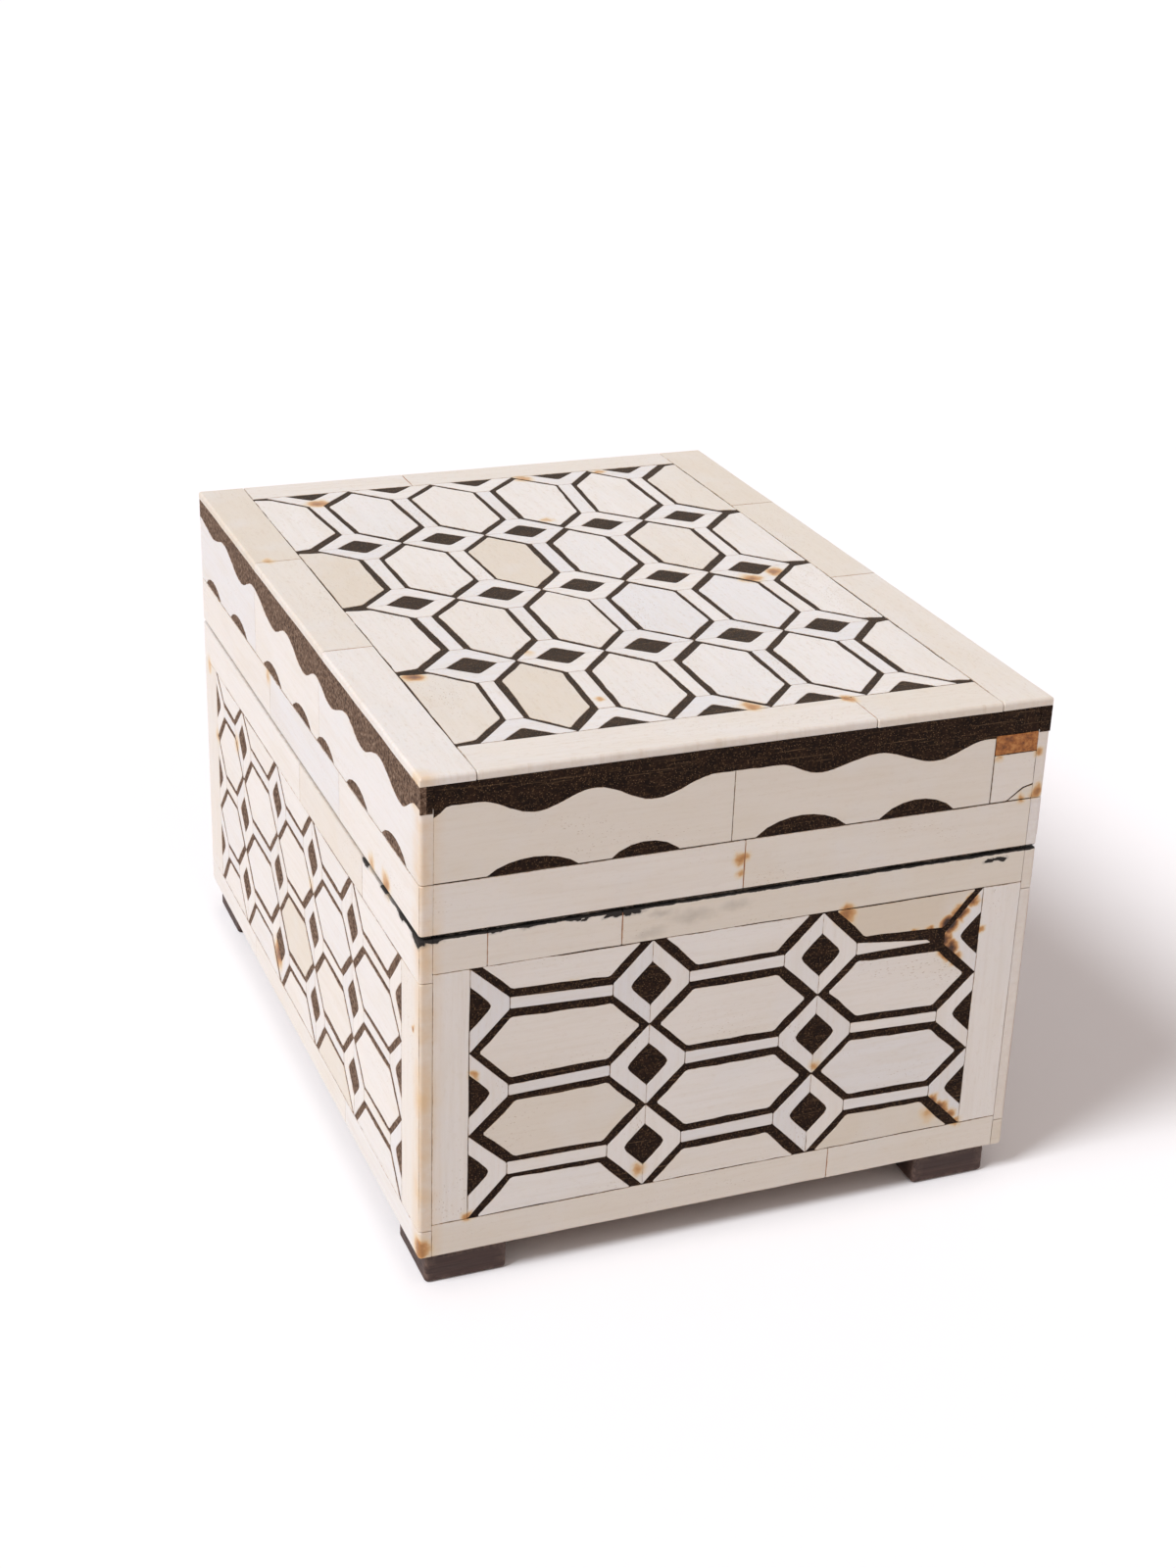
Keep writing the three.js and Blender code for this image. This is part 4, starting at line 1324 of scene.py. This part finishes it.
# %% [markdown]
# ## The lid's friezes
# Each side of the lid has strips with a wavy upper edge, sawn by eye, under a band of resin. Under
# each trough a lens is cut from the lower edge and filled with resin too. A plain strip closes the
# lid below. The waves are drawn through their crests and troughs, which are measured like the
# lozenges, down from the top of the box.

# %% Wavy strips
wave_step = 1.4
lens_bulge = 0.8
saw_waver = 0.07


def wave(knots, x):
    """The height of the wavy edge at x, in smooth swings from one knot to the next."""
    for (x1, y1), (x2, y2) in zip(knots, knots[1:]):
        if x <= x2:
            share = min(max((x - x1) / (x2 - x1), 0), 1)
            return y1 + (y2 - y1) * (1 - math.cos(math.pi * share)) / 2
    return knots[-1][1]


def hollow(lenses, x):
    """How high the lower edge is cut out at x for a lens of resin."""
    for middle, length, height in lenses:
        away = abs(x - middle) / (length / 2)
        if away < 1:
            return height * (1 - away ** 2) ** lens_bulge
    return 0.0


def frieze_strip(left, right, bottom, knots, lenses, rng, whiteness):
    lens_ends = {x for middle, length, _ in lenses for x in (middle - length / 2, middle + length / 2)}
    count = round((right - left) / wave_step)
    steps = [left + (right - left) * k / count for k in range(count + 1)]
    lower = sorted({*steps[::2], steps[-1], *(x for x in lens_ends if left + 0.5 < x < right - 0.5)})
    shape = [Vector((x, bottom + hollow(lenses, x))) for x in lower]
    shape += [Vector((x, wave(knots, x) + rng.uniform(-saw_waver, saw_waver))) for x in reversed(steps)]
    return shape, (1, 0), whiteness + rng.uniform(-0.15, 0.2)


# %% [markdown]
# ### Waves and lenses as they are on the box
# A knot is a crest or a trough of the wave, as (x, depth below the top of the box). A lens is
# (middle, length, height). All are in millimetres.

# %% Measured waves and lenses
top_mm = box_top / MM
frieze_low = low("lid_resin_front").z / MM
front_wave = [
    (3, 9.3), (6.5, 7.0), (12.5, 7.0), (25.6, 11.0), (39, 7.3), (53, 11.8), (67, 7.8), (71.5, 7.8),
    (82, 7.9), (91.9, 11.0), (106, 8.3), (121.3, 12.0), (133.8, 8.5), (136, 8.5),
]
left_wave = [
    (0, 7.0), (15.7, 8.7), (28.1, 6.2), (46.5, 10.7), (59.2, 7.0), (80, 11.3), (92.4, 7.7),
    (108.7, 11.9), (119.6, 8.4), (132.1, 11.2), (145, 7.7), (157.4, 11.0), (170.5, 7.4),
    (186.8, 11.6), (197, 7.2), (200, 7.2),
]
front_lenses = [(25.3, 20.6, 3.1), (51.2, 15.8, 3.0), (88.4, 22.1, 3.9), (117.2, 18.8, 3.7)]
left_lenses = [(14.3, 17, 2.9), (43.0, 18, 3.0), (78.3, 18, 3.2), (106.2, 17, 3.0), (127.4, 15, 3.0),
               (153.5, 17, 3.1), (181.8, 18, 3.2)]
crest_depth, trough_depth = 7.6, 11.4


def even_wave(length, first, pitch, rng):
    """Crests and troughs in turn, and a lens under each trough, for the sides that aren't seen."""
    knots, lenses = [(0, crest_depth)], []
    x, is_crest = first, True
    while x < length:
        knots.append((x, (crest_depth if is_crest else trough_depth) + rng.uniform(-0.5, 0.5)))
        if not is_crest:
            lenses.append((x + rng.uniform(-1, 1), rng.uniform(16, 19.5), rng.uniform(2.8, 3.5)))
        x, is_crest = x + pitch / 2 + rng.uniform(-1.2, 1.2), not is_crest
    return [*knots, (length + 1, 7.8)], lenses


back_wave, back_lenses = even_wave(133, 8, 27, rng)
right_wave, right_lenses = even_wave(200, 9, 28, rng)
frieze_plans = {
    "front": (front_wave, front_lenses, (71.5, 136.0), (75.0,)),
    "left": (left_wave, left_lenses, (61.3, 122.1), (75.1, 138.7)),
    "back": (back_wave, back_lenses, (68.5, 135.6), (62.0, 121.0)),
    "right": (right_wave, right_lenses, (62.0, 124.5), (70.5, 136.0)),
}
print("lenses per side:", {name: len(plan[1]) for name, plan in frieze_plans.items()})

# %% [markdown]
# ### End blocks
# On the short sides a plain block stands at the end of the frieze. On the front a scorched piece is
# let in above it, and its lower corner has cracked off and was glued back.

# %% End blocks
block_drop = 8.0
scorched_height = 4.9


def end_block(left, right, bottom, top, rng, is_cracked):
    if not is_cracked:
        return [plank(left, right, bottom, top, rng, 0.4)]
    level = top - scorched_height
    scorched_piece = [(left, level + joint), (right, level + joint), (right, top), (left, top)]
    body = [(left, bottom), (right - 6.6, bottom), (right - 2.6, bottom + 3.0), (right, bottom + 3.6),
            (right, level), (left, level)]
    chip = [(right - 6.2, bottom), (right, bottom), (right, bottom + 3.3), (right - 2.3, bottom + 2.7)]
    return [(hand_cut(shape, rng, nip=0.2), (1, 0), whiteness)
            for shape, whiteness in ((scorched_piece, -1.0), (body, 0.45), (chip, 0.3))]


# %% [markdown]
# ### The lid's sides
# The notches for the hinges are in the lower edge of the right side's plain strip, and a strip has
# its notches above. So that strip is laid upside down and turned over.

# %% Friezes and plain strips of the lid
def frieze_outlines(name, rng):
    crests, lenses, joints, _ = frieze_plans[name]
    knots = [(x, top_mm - y) for x, y in crests]
    first, last = side_ends[name]
    *strip_spans, last_span = zip((first, *joints), (*joints, last))
    bottom = frieze_low + joint
    if name not in ("front", "back"):
        strip_spans.append(last_span)
    strips = [frieze_strip(start + joint / 2, end - joint / 2, bottom, knots, lenses, rng, strip_tone[name])
              for start, end in strip_spans]
    if name in ("front", "back"):
        left, right, top = last_span[0] + joint, last_span[1] - joint / 2, top_mm - block_drop
        strips += end_block(left, right, bottom, top, rng, is_cracked=name == "front")
    return strips


def plain_outlines(name, rng, whiteness=0.7):
    first, last = side_ends[name]
    cuts = (first, *frieze_plans[name][3], last)
    upper_edge = frieze_low - joint
    if name != "right":
        return planks(cuts, lid_bottom_mm, upper_edge, rng, whiteness)
    strips = planks(cuts, -upper_edge, -lid_bottom_mm, rng, whiteness, hinge_notches)
    return [([Vector((p.x, -p.y)) for p in reversed(points)], direction, tone)
            for points, direction, tone in strips]


for seed, name in enumerate(side_walls, 11):
    ease = side_ease(name)
    mesh = bone_mesh(strip_tree, frieze_outlines(name, rng), name, seed, frieze_spread, ease)
    keep(f"lid_frieze_{name}", mesh, "lid", [f"lid_wall_{name}"])
    mesh = bone_mesh(strip_tree, plain_outlines(name, rng), name, seed, border_spread, ease)
    keep(f"lid_plain_border_{name}", mesh, "lid", [f"lid_plain_strip_{name}"])

# %% [markdown]
# ## The top
# The top's pieces are thinner, two millimetres, and its border strips are rounded over along the
# box's edge, where hands take hold of the lid.

# %% Mosaic and border of the top
edge_zone, edge_ease = 0.6, 0.7
left, right, bottom, top = field_of("top")


def top_ease(a, b):
    at_edge = (
        max(a.x, b.x) < edge_zone or min(a.x, b.x) > width_mm - edge_zone
        or max(a.y, b.y) < edge_zone or min(a.y, b.y) > depth_mm - edge_zone
    )
    return edge_ease if at_edge else plain_ease


set_back = 0.25
top_strips = [
    *stiles((0, 74.4, 138.1, depth_mm), 0, left - joint, rng, 0.5),
    *stiles((0, 87.0, 148.0, depth_mm), right + joint, width_mm, rng, 0.5),
    *planks((left, 105.4), set_back, bottom - joint, rng, 0.7),
    *planks((105.4, right), 0, bottom - joint, rng, 0.45),
    *planks((left, 58.0, right), top + joint, depth_mm, rng, 0.5),
]
top_seed = 21
mesh = bone_mesh(tessera_tree, fields["top"], "top", top_seed, mosaic_spread)
keep("lid_top_mosaic", mesh, "lid", ["lid_board"])
mesh = bone_mesh(strip_tree, top_strips, "top", top_seed, border_spread, top_ease)
top_borders = [f"lid_top_strip_{side}" for side in ("left", "right", "front", "back")]
keep("lid_top_border", mesh, "lid", top_borders)

# %% [markdown]
# ## Resin
# The resin was poured over the bone and sanded back, so it lies a little below the bone and its
# surface is grainy. A second node tree makes one bed of it for each field: a fine grid with a
# slightly rough top, closed at the sides and underneath.

# %% The tree for resin
def make_bed_tree():
    tree, given = new_tree("Resin bed", (
        ("Start", "Geometry", None), ("Width", "Float", 100 * MM), ("Height", "Float", 50 * MM),
        ("Spacing", "Float", 1 * MM), ("Thickness", "Float", 2.5 * MM), ("Relief", "Float", 0.08 * MM),
        ("Notch", "Float", 0.0), ("Resin", "Material", None),
    ))
    width, height, spacing = given["Width"], given["Height"], given["Spacing"]
    half_width, half_height = maths(tree, "DIVIDE", width, 2.0), maths(tree, "DIVIDE", height, 2.0)
    columns, rows = (maths(tree, "ADD", maths(tree, "CEIL", maths(tree, "DIVIDE", length, spacing)), 1.0)
                     for length in (width, height))
    values = {"Size X": width, "Size Y": height, "Vertices X": columns, "Vertices Y": rows}
    grid = add(tree, "GeometryNodeMeshGrid", values).outputs["Mesh"]
    corner = add(tree, "ShaderNodeCombineXYZ", {"X": half_width, "Y": half_height}).outputs[0]
    sheet = moved(tree, grid, corner)

    # the lower corners at both ends are left out up to the height of the notch
    where = add(tree, "GeometryNodeInputPosition").outputs[0]
    x, y, _ = along_axes(tree, where)
    from_middle = maths(tree, "ABSOLUTE", maths(tree, "SUBTRACT", x, half_width))
    at_end = maths(tree, "GREATER_THAN", from_middle, maths(tree, "SUBTRACT", half_width, spacing))
    notched = maths(tree, "MULTIPLY", at_end, maths(tree, "LESS_THAN", y, given["Notch"]))
    values = {"Geometry": sheet, "Selection": notched}
    sheet = add(tree, "GeometryNodeDeleteGeometry", values, domain="FACE").outputs[0]

    body, upper = pulled(tree, sheet, given["Thickness"], individual=False)
    rough = add(tree, "ShaderNodeTexNoise", {"Vector": where, "Scale": 900.0, "Detail": 3.0}).outputs[0]
    lift = maths(tree, "MULTIPLY", maths(tree, "SUBTRACT", rough, 0.5), given["Relief"])
    body = moved(tree, body, upwards(tree, lift), Selection=upper)
    end_tree(tree, closed_below(tree, body, sheet), given["Resin"])
    return tree


bed_tree = make_bed_tree()
print("resin tree:", len(bed_tree.nodes), "nodes")

# %% [markdown]
# Each bed runs a hair under the plain strips round its field. On the lid's long sides the strips
# reach the box's corners, so the bed's ends are left out there up to the frieze's upper edge.

# %% Beds of resin
resin_sink = 0.16
side_bed_back, top_bed_back = 2.9, 1.9
bed_lap = 0.05
bed_spacing, bed_relief = 0.8, 0.1
frieze_top_depth = 8.2


def resin_bed(name, left, right, bottom, top, back, notch=0.0):
    """A bed on a face's sheet, from the depth of its back to just below the bone, in millimetres."""
    values = {
        "Width": (right - left) * MM, "Height": (top - bottom) * MM, "Spacing": bed_spacing * MM,
        "Thickness": (back - resin_sink) * MM, "Relief": bed_relief * MM, "Notch": notch * MM,
        "Resin": resin,
    }
    place = sheets[name] @ Matrix.Translation(Vector((left, bottom, -back)) * MM)
    return run_tree(bed_tree, bpy.data.meshes.new("start"), values, place)


def field_bed(name, back):
    left, right, bottom, top = field_of(name)
    return resin_bed(name, left - bed_lap, right + bed_lap, bottom - bed_lap, top + bed_lap, back)


for name in side_walls:
    keep(f"base_bed_{name}", field_bed(name, side_bed_back), "base", [f"base_resin_{name}"])
    first, last = side_ends[name]
    bed_low, bed_high = frieze_low + bed_lap, board_top / MM - bed_lap
    notch = top_mm - frieze_top_depth - bed_low if name in ("left", "right") else 0.0
    mesh = resin_bed(name, first + 0.02, last - 0.02, bed_low, bed_high, side_bed_back, notch)
    keep(f"lid_bed_{name}", mesh, "lid", [f"lid_resin_{name}"])
keep("lid_bed_top", field_bed("top", top_bed_back), "lid", ["lid_top_resin"])


# %% [markdown]
# ## Glue in the joints of the borders
# Behind the plain strips lies a thin bed of red-brown glue. It shows as hairlines wherever two
# strips meet.

# %% Blocks
def plain_mesh(bm, name, material=None):
    """The mesh of a bmesh, which is freed."""
    mesh = bpy.data.meshes.new(name)
    bm.to_mesh(mesh)
    bm.free()
    if material:
        mesh.materials.append(material)
    return mesh


def box_into(bm, corner_low, corner_high, bevel=0.0, segments=2):
    """A closed block between two corners, added to a bmesh, with its edges bevelled."""
    made = bmesh.ops.create_cube(bm, size=1.0)["verts"]
    size = Vector(corner_high) - Vector(corner_low)
    middle = (Vector(corner_high) + Vector(corner_low)) / 2
    for vertex in made:
        vertex.co = Vector(a * b for a, b in zip(vertex.co, size)) + middle
    if bevel:
        edges = list(dict.fromkeys(edge for vertex in made for edge in vertex.link_edges))
        bmesh.ops.bevel(bm, geom=edges, offset=bevel, segments=segments, affect="EDGES", profile=0.5)


glue_sink = 0.13


def glue_bed(name, rectangles, back):
    """Glue on a face's sheet, in rectangles given as (left, right, bottom, top) in millimetres."""
    bm = bmesh.new()
    for left, right, bottom, top in rectangles:
        box_into(bm, Vector((left, bottom, -back)) * MM, Vector((right, top, -glue_sink)) * MM)
    mesh = plain_mesh(bm, "glue", glue)
    mesh.transform(sheets[name])
    return mesh


# %% [markdown]
# The glue stays clear of the edges of the strips that hide it. On the hinge side it also stays
# clear of the hinges' notches, and on the top of the rounded edge.

# %% Glue beds
outer_inset, hinge_inset, edge_inset = 0.5, 2.4, 1.6
inner_inset, stile_inset, foot_inset = 0.4, 0.3, 0.6

for name in side_walls:
    left, right, bottom, top = field_of(name)
    first, last = (side_ends[name][0] + outer_inset, side_ends[name][1] - outer_inset)
    seam_inset = hinge_inset if name == "right" else outer_inset
    rail_low, rail_high = bottom - inner_inset, top + inner_inset
    stile_low, stile_high = bottom + stile_inset, top - stile_inset
    mesh = glue_bed(name, [
        (first, last, rail_high, rim_mm - seam_inset),
        (first, last, base_bottom_mm + foot_inset, rail_low),
        (first, left - inner_inset, stile_low, stile_high),
        (right + inner_inset, last, stile_low, stile_high),
    ], side_bed_back)
    keep(f"base_glue_{name}", mesh, "base")
    strip = (first, last, lid_bottom_mm + seam_inset, frieze_low - inner_inset)
    keep(f"lid_glue_{name}", glue_bed(name, [strip], side_bed_back), "lid")

left, right, bottom, top = field_of("top")
low_edge, right_edge, back_edge = edge_inset, width_mm - edge_inset, depth_mm - edge_inset
mesh = glue_bed("top", [
    (low_edge, left - inner_inset, low_edge, back_edge),
    (right + inner_inset, right_edge, low_edge, back_edge),
    (left + inner_inset, right - inner_inset, low_edge, bottom - inner_inset),
    (left + inner_inset, right - inner_inset, top + inner_inset, back_edge),
], top_bed_back)
keep("lid_glue_top", mesh, "lid")

# %% [markdown]
# ## Wooden carcass
# Behind the bone is a plain box of red-brown hardwood boards. It shows only underneath and when
# the lid is open. Each board carries the grain along its length, and the boards of the hinge side
# are let in for the leaves.

# %% Helpers for boards
board_bevel = 0.35 * MM


def grain_along(mesh, direction, number):
    """Stores how far each point lies along the board and across it. Each board has its own part
    of the wood, shifted by its number."""
    across, through = (axis for axis in (X, Y, Z) if abs(axis.dot(direction)) < 0.5)
    values = []
    for point in (vertex.co for vertex in mesh.vertices):
        values.append((point.dot(direction) + number * 0.41, point.dot(across) + number * 0.13,
                       point.dot(through)))
    carry(mesh, "grain", values)


def carve(mesh, pockets):
    """Cuts blocks, given by their two corners, out of a mesh."""
    bm = bmesh.new()
    for corner_low, corner_high in pockets:
        box_into(bm, corner_low, corner_high)
    cutter, blank = into_scene("cutter", plain_mesh(bm, "cutter")), into_scene("blank", mesh)
    modifier = blank.modifiers.new("cut", "BOOLEAN")
    modifier.object = cutter
    modifier.solver = "EXACT"
    result = evaluated(blank)
    blank.modifiers.remove(modifier)
    for item in (cutter, blank):
        bpy.data.objects.remove(item)
    return result


def board(name, corner_low, corner_high, direction, number, pockets=()):
    """A board between two corners, with pockets cut out of it."""
    bm = bmesh.new()
    box_into(bm, corner_low, corner_high, board_bevel)
    mesh = plain_mesh(bm, name)
    if pockets:
        mesh = carve(mesh, pockets)
    grain_along(mesh, direction, number)
    mesh.materials.clear()
    mesh.materials.append(carcass_wood)
    return mesh


# %% [markdown]
# The long boards run through, and the short ones stand between them. A lap of a few hundredths of
# a millimetre keeps the faces of two boards from lying in the same plane.

# %% Boards
wall = 7.0 * MM
lap = 0.05 * MM
half_gap = 0.15 * MM
pocket_clearance, pocket_depth, pocket_reach = 0.25 * MM, 1.2 * MM, 30 * MM
floor_top, lid_board_low = high("base_floor").z, low("lid_board").z
seam = (rim + lid_bottom) / 2
wood_left, wood_right = left_side + side_bone, right_side - side_bone
wood_front, wood_back = front_side + side_bone, back_side - side_bone
boards = {
    "front": ((wood_left + wall + lap, wood_front), (wood_right - wall - lap, wood_front + wall), X),
    "back": ((wood_left + wall + lap, wood_back - wall), (wood_right - wall - lap, wood_back), X),
    "left": ((wood_left, wood_front), (wood_left + wall, wood_back), Y),
    "right": ((wood_right - wall, wood_front), (wood_right, wood_back), Y),
}
leaf_pockets = []
for hinge in hinge_names:
    leaf_low, leaf_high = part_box(f"{hinge}_base_leaf")
    leaf_pockets.append((
        (leaf_low.x - pocket_clearance, leaf_low.y - pocket_clearance, seam - pocket_depth),
        (leaf_low.x - pocket_clearance + pocket_reach, leaf_high.y + pocket_clearance, seam + pocket_depth),
    ))

for number, (name, (start, end, direction)) in enumerate(boards.items()):
    cuts = leaf_pockets if name == "right" else ()
    lowest, highest = (*start, floor_top + lap), (*end, seam - half_gap)
    mesh = board(f"base_board_{name}", lowest, highest, direction, number, cuts)
    keep(f"base_board_{name}", mesh, "base", [f"base_wall_{name}"])
    lowest, highest = (*start, seam + half_gap), (*end, lid_board_low - lap)
    mesh = board(f"lid_board_{name}", lowest, highest, direction, number + 7, cuts)
    keep(f"lid_side_board_{name}", mesh, "lid", [f"lid_wall_{name}"])
mesh = board("floor", (wood_left, wood_front, base_bottom), (wood_right, wood_back, floor_top), Y, 21)
keep("base_floor_board", mesh, "base", ["base_floor"])
mesh = board("top", (wood_left, wood_front, lid_board_low), (wood_right, wood_back, board_top), Y, 24)
keep("lid_top_board", mesh, "lid", ["lid_board"])

# %% [markdown]
# ## Feet
# The feet are blocks of dark stained wood, cut with little care. Their edges are worn round and
# the stain is rubbed off there.

# %% Feet
foot_bevel, worn_width, dent = 0.9 * MM, 1.3 * MM, 0.07 * MM


def foot_mesh(node, number):
    corner_low, corner_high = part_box(node)
    rng = random.Random(number)
    bm = bmesh.new()
    box_into(bm, corner_low, corner_high, foot_bevel, 3)
    long_edges = [e for e in bm.edges if e.calc_length() > 3 * MM]
    bmesh.ops.subdivide_edges(bm, edges=long_edges, cuts=7, use_grid_fill=True)
    middle, half = (corner_low + corner_high) / 2, (corner_high - corner_low) / 2
    for vertex in bm.verts:
        push = Vector((rng.uniform(-1, 0) for _ in range(3))) * dent
        outwards = Vector(math.copysign(1, v) for v in vertex.co - middle)
        vertex.co += Vector(a * b for a, b in zip(push, outwards))
    mesh = plain_mesh(bm, node, foot_wood)
    wear = []
    for vertex in mesh.vertices:
        inside = sorted(h - abs(v) for v, h in zip(vertex.co - middle, half))
        wear.append(max(0.0, 1 - inside[1] / worn_width))
    carry(mesh, "edge", wear)
    grain_along(mesh, X, number)
    return mesh


for number, corner in enumerate(("front_left", "front_right", "back_left", "back_right"), 41):
    node = f"foot_{corner}"
    keep(f"foot_block_{corner}", foot_mesh(node, number), "base", [node])

# %% [markdown]
# ## Hinges
# Two small butt hinges lie in the rim of the right side. Each leaf is a strip of brass with
# rounded knuckles, three countersunk screws hold it, and the pin passes through all knuckles.

# %% Leaves and knuckles
knuckle_radius, bore_radius, pin_radius, pin_core = 2.0 * MM, 1.0 * MM, 0.9 * MM, 0.02 * MM
leaf_thickness, knuckle_gap, tube_chamfer = 1.0 * MM, 0.25 * MM, 0.15 * MM
plate_bevel, root_bevel = 0.12 * MM, 0.08 * MM
root_overlap, root_end = 1 * MM, 1.4 * MM


def bridge(bm, ring, following):
    """Faces between two rings of vertices, all the way round."""
    for i in range(len(ring)):
        j = (i + 1) % len(ring)
        bm.faces.new((ring[i], following[i], following[j], ring[j]))


def ring_into(bm, place, start, end, outer, inner, sides=40):
    """A closed tube along Y round a place (x, z)."""
    x, z = place
    rounded = outer - tube_chamfer
    profile = [(start, rounded), (start + tube_chamfer, outer), (end - tube_chamfer, outer), (end, rounded)]
    profile += [(end, inner), (start, inner)]
    rings = []
    for k in range(sides):
        cosine, sine = math.cos(2 * math.pi * k / sides), math.sin(2 * math.pi * k / sides)
        rings.append([bm.verts.new((x + r * cosine, y, z + r * sine)) for y, r in profile])
    for ring, following in zip(rings, rings[1:] + rings[:1]):
        bridge(bm, ring, following)


def brass_mesh(bm, name):
    bmesh.ops.recalc_face_normals(bm, faces=bm.faces)
    return plain_mesh(bm, name, brass)


def leaf_mesh(node, facing, knuckles, axis):
    """A leaf with its knuckles; facing is -1 for the leaf on the base and +1 for the one on the lid."""
    leaf_low, leaf_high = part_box(node)
    near, far = sorted((seam + facing * half_gap, seam + facing * (half_gap + leaf_thickness)))
    bm = bmesh.new()
    plate_edge = axis.x - knuckle_radius - knuckle_gap
    box_into(bm, (leaf_low.x, leaf_low.y, near), (plate_edge, leaf_high.y, far), plate_bevel)
    for start, end in knuckles:
        box_into(bm, (plate_edge - root_overlap, start, near), (axis.x - root_end, end, far), root_bevel)
        ring_into(bm, (axis.x, axis.z), start, end, knuckle_radius, bore_radius)
    return brass_mesh(bm, node)


# %% [markdown]
# ### Screws
# A countersunk screw shows a flat head with a slot. The head is two halves of a disc with the slot
# between them, on a cone that runs down to the point.

# %% Screws
screw_radius, slot_half_width, slot_depth, screw_length = 1.45 * MM, 0.16 * MM, 0.35 * MM, 6.0 * MM
screw_sides = 24


def screw_into(bm, x, y, z, facing, turn):
    """A screw flush with the leaf; facing is +1 for up and -1 for down."""
    angles = [2 * math.pi * k / screw_sides for k in range(screw_sides)]
    outline = [(screw_radius * math.cos(angle), screw_radius * math.sin(angle)) for angle in angles]
    cosine, sine = math.cos(turn), math.sin(turn)

    def at(px, py, height):
        return bm.verts.new((x + px * cosine - py * sine, y + px * sine + py * cosine, z + facing * height))

    edge = math.sqrt(screw_radius ** 2 - slot_half_width ** 2)
    for side in (1, -1):
        arc = {(px, py) for px, py in outline if side * py > slot_half_width * 1.5}
        arc |= {(edge, side * slot_half_width), (-edge, side * slot_half_width)}
        arc = sorted(arc, key=lambda p: -p[0])
        upper = [at(px, py, 0) for px, py in arc]
        lower = [at(px, py, -slot_depth) for px, py in arc]
        bm.faces.new(upper)
        bm.faces.new(lower[::-1])
        bridge(bm, upper, lower)

    # the head's cone, the shank and the point, as (radius, depth)
    cone = [(screw_radius, slot_depth), (0.7 * MM, 1.0 * MM), (0.6 * MM, screw_length),
            (0.05 * MM, screw_length + 1.2 * MM)]
    rings = [[at(r * px / screw_radius, r * py / screw_radius, -down) for px, py in outline]
             for r, down in cone]
    bm.faces.new(rings[0])
    bm.faces.new(rings[-1][::-1])
    for ring, following in zip(rings, rings[1:]):
        bridge(bm, ring, following)


# %% [markdown]
# ### Both hinges
# The base's leaf has the two outer knuckles and the lid's leaf the middle one. The pin and the
# base's screws stay with the base, and the other leaf and its screws turn with the lid.

# %% Put the hinges together
screw_spacing, screw_rise = 8.2 * MM, 0.04 * MM
screw_insets = {-1: 3.2 * MM, 0: 2.2 * MM, 1: 3.2 * MM}

axis = Vector(frame["joints"][0]["pos_m"])
screw_sets = {"base": bmesh.new(), "lid": bmesh.new()}
for hinge in hinge_names:
    leaf_low, leaf_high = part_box(f"{hinge}_base_leaf")
    middle, half_knuckle = (leaf_low.y + leaf_high.y) / 2, (leaf_high.y - leaf_low.y) / 6
    inner = [(middle - half_knuckle, middle + half_knuckle)]
    outer = [(leaf_low.y, inner[0][0] - knuckle_gap), (inner[0][1] + knuckle_gap, leaf_high.y)]
    for body, facing, knuckles in (("base", -1, outer), ("lid", 1, inner)):
        node = f"{hinge}_{body}_leaf"
        keep(f"{node}_brass", leaf_mesh(node, facing, knuckles, axis), body, [node])
        for k, inset in screw_insets.items():
            turn = random.Random(f"{hinge} {body} {k}").uniform(0, math.pi)
            x, y = leaf_low.x + inset, middle + k * screw_spacing
            screw_into(screw_sets[body], x, y, seam + facing * (half_gap - screw_rise), -facing, turn)
    bm = bmesh.new()
    ring_into(bm, (axis.x, axis.z), leaf_low.y, leaf_high.y, pin_radius, pin_core, 24)
    keep(f"{hinge}_pin_brass", brass_mesh(bm, f"{hinge}_pin"), "base", [f"{hinge}_pin"])
for body, bm in screw_sets.items():
    keep(f"{body}_screws", brass_mesh(bm, f"{body}_screws"), body)

# %% Finish
shown_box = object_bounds()
sizes = {"cad": [list(corner) for corner in cad_box], "shown": [list(corner) for corner in shown_box]}
print("size of the packed model and of this one:", sizes)
